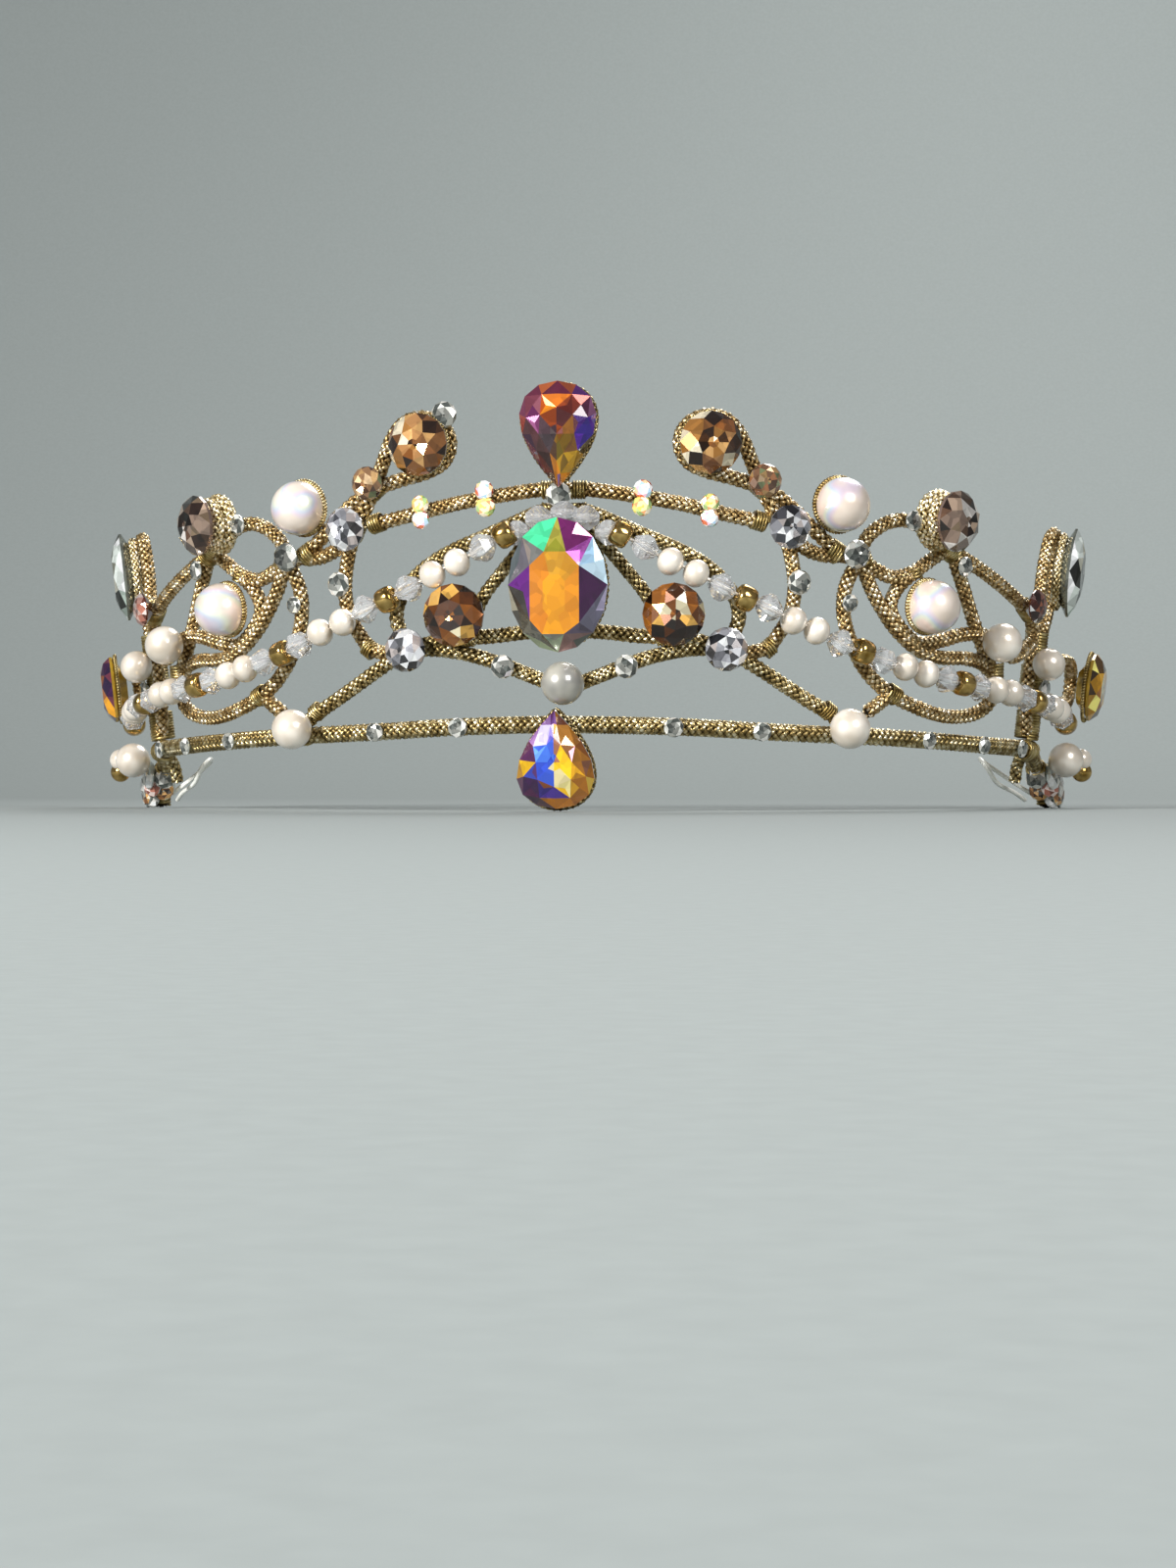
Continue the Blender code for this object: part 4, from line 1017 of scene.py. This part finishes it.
def turned_bead(name, rows, sides, hole, soft):
    """A bead in metres from (height, radius) rows, with a hole through it."""
    work = bmesh.new()
    profile = [*rows, (rows[-1][0], hole), (rows[0][0], hole)]
    rings = []
    for z, radius in profile:
        turns = [math.tau * i / sides for i in range(sides)]
        places = [(radius * math.cos(t) * MM, radius * math.sin(t) * MM, z * MM) for t in turns]
        rings.append([work.verts.new(place) for place in places])
    for low, high in zip(rings, [*rings[1:], rings[0]]):
        for i in range(sides):
            j = (i + 1) % sides
            work.faces.new((low[i], low[j], high[j], high[i]))
    bmesh.ops.recalc_face_normals(work, faces=work.faces)
    return mesh_from(work, name, soft)


def drop_source(source):
    """Removes a copied object when its copies are made."""
    mesh = source.data
    bpy.data.objects.remove(source)
    bpy.data.meshes.remove(mesh)


def leg_line(sign):
    """A leg's top, where it leaves the crown, its ankle and its foot."""
    top, foot = (STAND @ on_crown(sign * place[0], *place[1:]) for place in (LEG_TOP, FOOT_PLACE))
    foot.z = FOOT_HEIGHT
    return top, foot + Vector((0.0, 0.0, ANKLE)), foot


def ring_points(outline, size, place, rise, lower=0.0, count=48):
    """A closed ring round a stone's outline, in metres."""
    angle, height, out, *turns = place
    plane = placing(angle, height, out + rise, *turns)
    ring = [plane @ Vector((x, y - lower, 0.0)) for x, y in outline(*size, count)]
    return [*ring, ring[0]]


def side_place(name, sign):
    """The place of a side stone or cabochon on the right, or its mirror."""
    if name in PEARL_PLACES:
        angle, height, out, _ = PEARL_PLACES[name]
        return (sign * angle, height, out)
    angle, height, out, turn, tilt, spin = STONE_PLACES[name]
    return (sign * angle, height, out, sign * turn, tilt, sign * spin)


# Cups of cord under two of the side stones: stone, outline, size, height over its flat back, radius.
CUPS = (
    ("wing_stone", oval_outline, (6.6, 6.6), -CORD - GAP, CORD),
    ("wing_stone", oval_outline, (6.0, 6.0), 0.5, 0.9),
    ("end_navette", navette_outline, (4.6, 10.4), 0.2, 0.75),
)
# Cord rims of the middle stones: piece, outline, size, place and sag.
RIMS = (
    ("top_pear_rim", upturned_pear, PEAR, TOP_PEAR_PLACE, 0.0),
    ("centre_oval_rim", oval_outline, OVAL, OVAL_PLACE, 0.0),
    ("drop_pear_rim", pear_outline, PEAR, DROP_PEAR_PLACE, DROP_SAG),
)
# Thread round the edges of side stones and cabochons: size, height over the back or middle, radius.
EDGES = {
    "crest_cabochon": ((CABOCHON - 0.3, CABOCHON - 0.3), -1.3, 0.6),
    "wing_cabochon": ((CABOCHON - 0.3, CABOCHON - 0.3), -1.3, 0.6),
    "end_oval": (END_OVAL, 1.4, 0.4),
    "crest_stone": ((8.0, 8.0), 1.75, 0.4),
}


def cord_plan():
    """Every braided piece: (piece, nodes, finish, [(points, radius), ...])."""
    crown = standing(both_ways(BAND_ROUTE))[::4]
    _, left_ankle, left_foot = leg_line(-1)
    _, right_ankle, right_foot = leg_line(1)
    band = smooth([left_foot, left_ankle, *crown, right_ankle, right_foot], 0.8 * MM)
    tails = [(standing(BAND_TAIL, sign), FINE) for _, sign in SIDES]
    lattice = [(standing(both_ways(route)), CORD) for route in (LOW_ARCH, VEE, INNER_ARCH)]
    lattice += [(standing(INNER_LEG, sign), FINE) for _, sign in SIDES]
    arch = [(standing(both_ways(TOP_ARCH)), CORD), (standing(PEAR_STEM), STEM)]
    yield "band_cord", ("base_band",), "olive_lame_braid", [(band, BAND), *tails]
    yield "lattice_cord", ("centre_lattice",), "olive_lame_braid", lattice
    yield "arch_cord", ("top_arch",), "warm_lame_braid", arch
    for side, sign in SIDES:
        frame = (f"side_frame_{side}",)
        scroll = [(standing(route, sign), CORD) for route in SCROLL_CORDS.values()]
        yield f"scroll_cord_{side}", (f"scroll_{side}",), "warm_lame_braid", scroll
        sides = [(standing(route, sign), CORD) for route in FRAME_CORDS.values()]
        yield f"frame_cord_{side}", frame, "warm_lame_braid", sides
        cups = [
            (ring_points(outline, size, side_place(stone, sign), rise), radius)
            for stone, outline, size, rise, radius in CUPS
        ]
        yield f"cup_cord_{side}", frame, "pale_lame_braid", cups
    for name, outline, (width, height), place, sag in RIMS:
        size = (RIM_SHARE * width, RIM_SHARE * height)
        ring = ring_points(outline, size, place, RIM_RISE - sag, sag)
        yield f"{name}_cord", (name,), "olive_lame_braid", [(ring, RIM)]


def thread_plan():
    """Every thread binding and picot edge: (piece, nodes, [(points, radius), ...])."""
    for owner, places in BINDINGS.items():
        for side, sign in SIDES:
            lines = []
            for angle, height, out, heading, length, radius in places:
                along, rise, _ = crown_axes(sign * angle, height)
                turn = math.radians(heading)
                line = sign * along * math.cos(turn) + rise * math.sin(turn)
                middle = on_crown(sign * angle, height, out)
                shares = (-0.5, -0.25, 0.0, 0.25, 0.5)
                lines.append(([STAND @ (middle + line * share * length) for share in shares], radius))
            if owner == "band":
                top, ankle, foot = leg_line(sign)
                lines.append(([*[top.lerp(ankle, share / 8) for share in range(9)], foot], LEG))
            yield f"{owner}_binding_{side}", (BINDING_OWNERS[owner].format(side),), lines
    for side, sign in SIDES:
        for name, (size, rise, radius) in EDGES.items():
            ring = ring_points(oval_outline, size, side_place(name, sign), rise)
            yield f"{name}_edge_{side}", (), [(ring, radius)]


# The node that each group of bindings belongs to.
BINDING_OWNERS = {
    "scroll": "scroll_{}", "side": "side_frame_{}", "lattice": "centre_lattice", "arch": "top_arch",
    "band": "base_band",
}


def marked_points(name, seats):
    """A mesh of points that carry the way a small stone faces and its size."""
    mesh = bpy.data.meshes.new(name)
    mesh.from_pydata([tuple(point) for point, _, _ in seats], [], [])
    facing = [value for _, way, _ in seats for value in way]
    mesh.attributes.new("facing", "FLOAT_VECTOR", "POINT").data.foreach_set("vector", facing)
    sizes = [size for _, _, size in seats]
    mesh.attributes.new("size", "FLOAT", "POINT").data.foreach_set("value", sizes)
    return mesh


def chip_seats():
    """Where the small crystals sit, by palette: point, facing and size."""
    seats = {}
    places = [(sign * angle, *rest) for angle, *rest in CHIP_PLACES for _, sign in SIDES]
    for angle, height, out, size, palette in (*places, *SINGLE_CHIPS):
        seat = placing(angle, height, out)
        seats.setdefault(palette, []).append((seat.translation, seat.col[2].xyz.normalized(), size))
    for _, sign in SIDES:
        top, _, foot = leg_line(sign)
        outward = crown_axes(sign * 86.0, 0.0)[2]
        outward = Vector((outward.x, outward.y, 0.0)).normalized()
        for share, turn, size, palette in LEG_CHIPS:
            way = Matrix.Rotation(-sign * math.radians(turn), 3, "Z") @ outward
            point = top.lerp(foot, share) + way * (LEG - 0.3) * MM
            seats.setdefault(palette, []).append((point, way, size))
    return seats


# The stones: outline, size, depth, table share, foil and edge colour, then lean, slot and place of a middle
# one, or finish and slot of a side one.
FOILED = "foiled_crystal"
RAINBOW = "rainbow_foiled_crystal"
MIDDLE_STONES = {
    "top_pear": (
        upturned_pear, PEAR, 5.0, 0.5, TOP_PEAR_FOIL, "#5c3418", 0.22, "amber_glass", TOP_PEAR_PLACE,
    ),
    "centre_oval": (oval_outline, OVAL, 5.6, 0.0, OVAL_FOIL, "#7c8480", 0.05, "crystal_glass", OVAL_PLACE),
    "drop_pear": (
        pear_outline, DROP_PEAR, 5.0, 0.5, DROP_PEAR_FOIL, "#5c3a24", 0.22, "amber_glass", DROP_PEAR_PLACE,
    ),
}
SIDE_STONES = {
    "crest_stone": (oval_outline, ROUND_STONE, 4.2, 0.5, "topaz", "#a08058", FOILED, "topaz_glass"),
    "crest_brown_stone": (oval_outline, BROWN_STONE, 2.1, 0.62, "brown", "#6c5444", RAINBOW, "topaz_glass"),
    "hub_crystal": (oval_outline, HUB_CRYSTAL, 2.5, 0.5, "crystal", "#b0b0b4", FOILED, "crystal_glass"),
    "fork_crystal": (oval_outline, FORK_CRYSTAL, 1.9, 0.6, "grey", "#70787c", FOILED, "crystal_glass"),
    "wing_stone": (oval_outline, ROUND_STONE, 4.2, 0.5, "smoky", "#8c7468", FOILED, "topaz_glass"),
    "copper_stone": (oval_outline, COPPER_STONE, 2.2, 0.5, "copper", "#6c3424", FOILED, "copper_glass"),
    "end_navette": (navette_outline, NAVETTE, 3.6, 0.5, "smoke", "#6c7066", FOILED, "smoke_glass"),
    "end_oval": (oval_outline, END_OVAL, 3.8, 0.55, "yellow", "#b08c20", RAINBOW, "amber_glass"),
    "amber_stone": (oval_outline, ROUND_STONE, 4.2, 0.5, "amber", "#4c3018", FOILED, "amber_glass"),
    "low_crystal": (oval_outline, HUB_CRYSTAL, 2.5, 0.62, "crystal", "#808488", FOILED, "crystal_glass"),
}
# Where the two sides differ in colour: the left one's palette.
LEFT_FOILS = {"end_oval": "purple_amber", "copper_stone": "copper_pink"}
PEARL_TURNS = [math.pi * i / 12 for i in range(13)]
PEARL_ROWS = [(-1.75 * math.cos(turn), max(0.35, 1.92 * math.sin(turn))) for turn in PEARL_TURNS]
# The string's beads: rows, sides, hole, whether soft, finish, slot.
STRING_KINDS = {
    "crystal": (
        ((-1.8, 0.8), (-0.45, 1.92), (0.45, 1.92), (1.8, 0.8)),
        6, 0.4, False, "clear_crystal", "crystal_glass",
    ),
    "gold": (
        ((-1.3, 1.2), (-1.1, 1.55), (-0.6, 1.72), (0.6, 1.72), (1.1, 1.55), (1.3, 1.2)),
        20, 0.6, True, "gilt_brass", "gold_bead",
    ),
    "pearl": (PEARL_ROWS, 20, 0.3, True, "cream_pearl_lacquer", "pearl"),
}


class TiaraSizes(bpy.types.PropertyGroup):
    """Sizes that a user would change."""

    strands: IntProperty(name="Braid strands", description="Strands in a cord's braid", default=10)
    cell: FloatProperty(
        name="Braid cell", description="Length of one stitch of the braid", default=0.00097, unit="LENGTH"
    )
    thread: FloatProperty(
        name="Binding thread", description="Thickness of the binding thread", default=0.00042, unit="LENGTH"
    )


class TiaraLook(bpy.types.PropertyGroup):
    """Colours and light that a user would change."""

    paper: FloatVectorProperty(
        name="Paper", description="Colour of the background paper", default=linear("#7e8482"), subtype="COLOR"
    )
    key_power: FloatProperty(
        name="Key light", description="Power of the main soft light", default=9.0, unit="POWER"
    )
    room: FloatVectorProperty(
        name="Room light", description="Colour of the light all round", default=(0.75, 0.78, 0.82),
        subtype="COLOR",
    )


class TIARA_OT_cords(bpy.types.Operator):
    """Braids every cord of the tiara"""

    bl_idname = "tiara.cords"
    bl_label = "Braided cords"

    def execute(self, context):
        sizes = context.scene.tiara_sizes
        for piece, nodes, look, cords in cord_plan():
            thin = all(radius < FINE for _, radius in cords)
            strands = THIN_STRANDS if thin else sizes.strands
            cell = sizes.cell * (THIN_CELL if thin else 1.0)
            mesh = braided(piece, cords, look, strands, cell, BRAID_SHARE, ways=2)
            add_piece(piece, mesh, "gold_cord", nodes)
        return {"FINISHED"}


class TIARA_OT_bindings(bpy.types.Operator):
    """Winds gold thread round the joints and the legs, and round the edges of some stones"""

    bl_idname = "tiara.bindings"
    bl_label = "Thread bindings"

    def execute(self, context):
        thread = context.scene.tiara_sizes.thread
        for piece, nodes, lines in thread_plan():
            look = "pale_lame_braid" if "cabochon" in piece else "lame_thread"
            share = BINDING_SHARE if lines[0][1] > FINE else EDGE_SHARE
            add_piece(piece, braided(piece, lines, look, 1, thread, share, steps=12), "gold_cord", nodes)
        return {"FINISHED"}


class TIARA_OT_crystals(bpy.types.Operator):
    """Sets the small flat-backed crystals along the cords and round the legs"""

    bl_idname = "tiara.crystals"
    bl_label = "Small crystals"

    def execute(self, context):
        tree = crystal_tree()
        cut = brilliant_cut(oval_outline, (1.0, 1.0), facets=6, depth=0.42, table=0.58)
        for palette, seats in chip_seats().items():
            name = f"{palette}_chip"
            stone = stone_mesh(name, FOILS[palette], "#c4ccc8", cut, CHIP_LEAN, Matrix.Scale(MM, 4))
            source = put("chip", stone)
            values = {"Stone": source, "Seed": 3, "Material": finish("silvered_crystal")}
            mesh = grow("crystals", marked_points("seats", seats), tree, values)
            add_piece(f"{palette}_crystals", mesh, "crystal_glass")
            drop_source(source)
        return {"FINISHED"}


class TIARA_OT_stones(bpy.types.Operator):
    """Cuts the main stones"""

    bl_idname = "tiara.stones"
    bl_label = "Main stones"

    def execute(self, context):
        for name, (outline, size, depth, table, foil, edge, lean, slot, place) in MIDDLE_STONES.items():
            cutter = brilliant_cut if table else step_cut
            cut = cutter(outline, size, FACETS, depth, table)
            mesh = stone_mesh(name, foil, edge, cut, lean, placing(*place))
            add_piece(f"{name}_cut", mesh, slot, (name,), RAINBOW)
        for side, sign in SIDES:
            for name, (outline, size, depth, table, palette, edge, look, slot) in SIDE_STONES.items():
                node = f"{name}_{side}"
                both = size if isinstance(size, tuple) else (size, size)
                foil = FOILS[LEFT_FOILS.get(name, palette) if sign < 0 else palette]
                cut = brilliant_cut(outline, both, FACETS, depth, table)
                mesh = stone_mesh(node, foil, edge, cut, SIDE_LEAN, placing(*side_place(name, sign)))
                add_piece(f"{name}_cut_{side}", mesh, slot, (node,), look)
        return {"FINISHED"}


class TIARA_OT_pearls(bpy.types.Operator):
    """Sets the pearls, the pearl cabochons and the beads by the legs"""

    bl_idname = "tiara.pearls"
    bl_label = "Pearls"

    def execute(self, context):
        # The middle pearl's grey finish is painted shade: the pearl drawn darker, as if in shadow.
        place = placing(0.0, CENTRE_PEARL_HEIGHT - CENTRE_PEARL_DROP, CORD + GAP + PEARL / 2)
        mesh = ball_mesh("centre_pearl_bead", CENTRE_PEARL, place)
        add_piece("centre_pearl_bead", mesh, "pearl", ("centre_pearl",), "grey_pearl_lacquer")
        for side, sign in SIDES:
            for name, (angle, height, out, diameter) in PEARL_PLACES.items():
                node = f"{name}_{side}"
                look = "rainbow_pearl_lacquer" if "cabochon" in name else "cream_pearl_lacquer"
                mesh = ball_mesh(node, diameter, placing(sign * angle, height, out))
                add_piece(f"{name}_bead_{side}", mesh, "pearl", (node,), look)
            for name, diameter, (angle, height, out), look, slot in LEG_BEADS:
                mesh = ball_mesh(name, diameter, placing(sign * angle, height, out))
                add_piece(f"{name}_{side}", mesh, slot, (), look)
        return {"FINISHED"}


class TIARA_OT_strings(bpy.types.Operator):
    """Threads the draped string of crystals, gilt beads and pearls on each side"""

    bl_idname = "tiara.strings"
    bl_label = "Bead strings"

    def execute(self, context):
        tree = bead_tree()
        repeat = sum(BEAD_LENGTHS[name] for name in STRING_REPEAT)
        orders = [i % len(STRING_REPEAT) for i in range(STRING_BEADS)]
        whole = sum(BEAD_LENGTHS[STRING_REPEAT[i]] for i in orders)
        for side, sign in SIDES:
            node = (f"bead_string_{side}",)
            route = standing(STRING_ROUTE, sign, 0.5)
            stretch = sum((b - a).length for a, b in zip(route, route[1:])) / whole
            for kind, (rows, sides, hole, soft, look, slot) in STRING_KINDS.items():
                source = put(kind, turned_bead(kind, rows, sides, hole, soft))
                values = {"Bead": source, "Spacing": repeat * stretch, "Material": finish(look)}
                meshes = []
                done = 0.0
                for order, name in enumerate(STRING_REPEAT):
                    if name == kind:
                        first = (done + BEAD_LENGTHS[name] / 2) * stretch
                        values |= {"First": first, "Count": orders.count(order), "Seed": order}
                        meshes.append(grow(kind, path_mesh([(route, 1.0)]), tree, values))
                    done += BEAD_LENGTHS[name]
                # The one in the middle is on the right string alone.
                for place in HIDDEN_BEADS if kind == "crystal" else ():
                    if sign > 0 or place is not HIDDEN_BEADS[-1]:
                        bead = source.data.copy()
                        bead.transform(placing(sign * place[0], *place[1:]) @ BEAD_LYING)
                        meshes.append(bead)
                mesh = joined(f"string_{kind}", meshes, finish(look))
                add_piece(f"string_{kind}_{side}", mesh, slot, node)
                drop_source(source)
            lines = [(route, 0.3)]
            mesh = braided("thread", lines, "cream_pearl_lacquer", strands=3, cell=0.0007, share=0.5)
            add_piece(f"string_thread_{side}", mesh, "nylon", node)
        return {"FINISHED"}


# Turns a bead on its side, from metres to the crown's millimetres.
BEAD_LYING = Matrix.Scale(1 / MM, 4) @ Matrix.Rotation(math.radians(90), 4, "Y")


def joined(name, meshes, look):
    """Several meshes as one mesh with one finish."""
    work = bmesh.new()
    for mesh in meshes:
        work.from_mesh(mesh)
    for face in work.faces:
        face.material_index = 0
    made = meshes[0]
    made.materials.clear()
    made.materials.append(look)
    work.to_mesh(made)
    work.free()
    made.name = name
    for mesh in meshes[1:]:
        bpy.data.meshes.remove(mesh)
    return made


class TIARA_OT_pin_loops(bpy.types.Operator):
    """Bends the clear nylon loop inside each leg"""

    bl_idname = "tiara.pin_loops"
    bl_label = "Pin loops"

    def execute(self, context):
        for side, sign in SIDES:
            lines = [(standing(PIN_LOOP, sign, 0.5), 1.5 * NYLON)]
            look = {"strands": 2, "cell": 0.004, "share": 0.66, "steps": 6, "sides": 8}
            mesh = braided("pin_loop", lines, "nylon_line", **look)
            add_piece(f"pin_loop_line_{side}", mesh, "nylon", (f"pin_loop_{side}",))
        return {"FINISHED"}


class TIARA_OT_stage(bpy.types.Operator):
    """Adds the grey sweep, the soft lights and the camera"""

    bl_idname = "tiara.stage"
    bl_label = "Stage"

    def execute(self, context):
        look = context.scene.tiara_look
        context.scene.view_settings.view_transform = "Standard"
        add_sweep(look)
        world = bpy.data.worlds.new("Room")
        world.use_nodes = True
        background = world.node_tree.nodes["Background"]
        background.inputs["Color"].default_value = (*look.room, 1.0)
        background.inputs["Strength"].default_value = ROOM_STRENGTH
        context.scene.world = world
        for name, place, size, share in LIGHTS:
            add_light(name, place, size, look.key_power * share)
        add_camera()
        return {"FINISHED"}


# Each light: name, place, size and share of the key light's power.
LIGHTS = (
    ("Key", (-0.44, -0.56, 0.28), 0.14, 1.0),
    ("Fill", (0.45, -0.62, 0.4), 0.3, 0.5),
    ("Back", (0.15, 0.4, 0.5), 0.3, 0.3),
)
ROOM_STRENGTH = 0.28
# The sweep in metres: half width, front edge, where it starts to bend, the bend's radius and the top.
SWEEP_REACH = 1.2
SWEEP_FRONT = -0.9
SWEEP_BEND = 0.25
SWEEP_RADIUS = 0.3
SWEEP_TOP = 1.2


def add_sweep(look):
    """The ground and the background as one curved sheet, extruded across the view."""
    rows = [(SWEEP_FRONT, 0.0), (SWEEP_BEND, 0.0)]
    for bend in (math.pi * i / 32 for i in range(1, 17)):
        y = SWEEP_BEND + SWEEP_RADIUS * math.sin(bend)
        rows.append((y, SWEEP_RADIUS - SWEEP_RADIUS * math.cos(bend)))
    rows.append((SWEEP_BEND + SWEEP_RADIUS, SWEEP_TOP))
    work = bmesh.new()
    lines = [[work.verts.new((x, y, z)) for y, z in rows] for x in (-SWEEP_REACH, SWEEP_REACH)]
    for i in range(len(rows) - 1):
        work.faces.new((lines[0][i], lines[1][i], lines[1][i + 1], lines[0][i + 1]))
    mesh = mesh_from(work, "sweep", True)
    mesh.materials.append(studio_paper("studio_paper", look.paper))
    put("sweep", mesh)


def add_light(name, place, size, power):
    """A square soft light aimed at the tiara."""
    data = bpy.data.lights.new(name, "AREA")
    data.size = size
    data.energy = power
    lamp = put(name, data)
    lamp.location = place
    lamp.rotation_euler = (Vector((0.0, -0.01, 0.03)) - Vector(place)).to_track_quat("-Z", "Y").to_euler()


# The photo's view: where the band's front lies in its 1200 by 1600 pixels, and the lens in pixels.
PHOTO_WIDTH = 1200
PHOTO_HEIGHT = 1600
BAND_PIXEL = (577, 741)
LENS_PIXELS = 3440.0
VIEW_AZIMUTH = math.radians(4.4)
VIEW_ELEVATION = math.radians(0.1)
VIEW_DISTANCE = 0.45
SENSOR = 36.0


def add_camera():
    """The camera at the photo's angle, low over the floor because the tiara leans back here."""
    forward = Vector((-math.sin(VIEW_AZIMUTH), math.cos(VIEW_AZIMUTH), 0.0)) * math.cos(VIEW_ELEVATION)
    forward.z = -math.sin(VIEW_ELEVATION)
    right = Vector((math.cos(VIEW_AZIMUTH), math.sin(VIEW_AZIMUTH), 0.0))
    up = right.cross(forward)
    per_pixel = VIEW_DISTANCE / LENS_PIXELS
    place = STAND @ on_crown(0.0, 0.0) - VIEW_DISTANCE * forward
    place += (PHOTO_WIDTH / 2 - BAND_PIXEL[0]) * per_pixel * right
    place -= (PHOTO_HEIGHT / 2 - BAND_PIXEL[1]) * per_pixel * up
    data = bpy.data.cameras.new("Camera")
    data.sensor_fit = "AUTO"
    data.sensor_width = SENSOR
    data.lens = LENS_PIXELS * SENSOR / PHOTO_HEIGHT
    data.clip_start = 0.01
    data.clip_end = 10.0
    camera = put("Camera", data)
    camera.location = place
    camera.rotation_euler = Matrix((right, up, -forward)).transposed().to_euler()
    bpy.context.scene.camera = camera


STEPS = (
    TIARA_OT_cords, TIARA_OT_bindings, TIARA_OT_crystals, TIARA_OT_stones, TIARA_OT_pearls,
    TIARA_OT_strings, TIARA_OT_pin_loops, TIARA_OT_stage,
)


class TIARA_PT_panel(bpy.types.Panel):
    """Lists the steps that build the tiara"""

    bl_label = "Ballet tiara"
    bl_space_type = "VIEW_3D"
    bl_region_type = "UI"
    bl_category = "Tiara"

    def draw(self, context):
        for step in STEPS:
            self.layout.operator(step.bl_idname)
        for group in (context.scene.tiara_sizes, context.scene.tiara_look):
            for name in group.__annotations__:
                self.layout.prop(group, name)


CLASSES = (TiaraSizes, TiaraLook, *STEPS, TIARA_PT_panel)


def register():
    for made in CLASSES:
        bpy.utils.register_class(made)
    bpy.types.Scene.tiara_sizes = PointerProperty(type=TiaraSizes)
    bpy.types.Scene.tiara_look = PointerProperty(type=TiaraLook)


def unregister():
    del bpy.types.Scene.tiara_look
    del bpy.types.Scene.tiara_sizes
    for made in reversed(CLASSES):
        bpy.utils.unregister_class(made)


def main():
    """Builds every piece."""
    register()
    for old in ("Cube", "Light", "Camera"):
        if old in bpy.data.objects:
            bpy.data.objects.remove(bpy.data.objects[old])
    for step in STEPS:
        group, name = step.bl_idname.split(".")
        getattr(getattr(bpy.ops, group), name)()


if __name__ == "__main__":
    main()
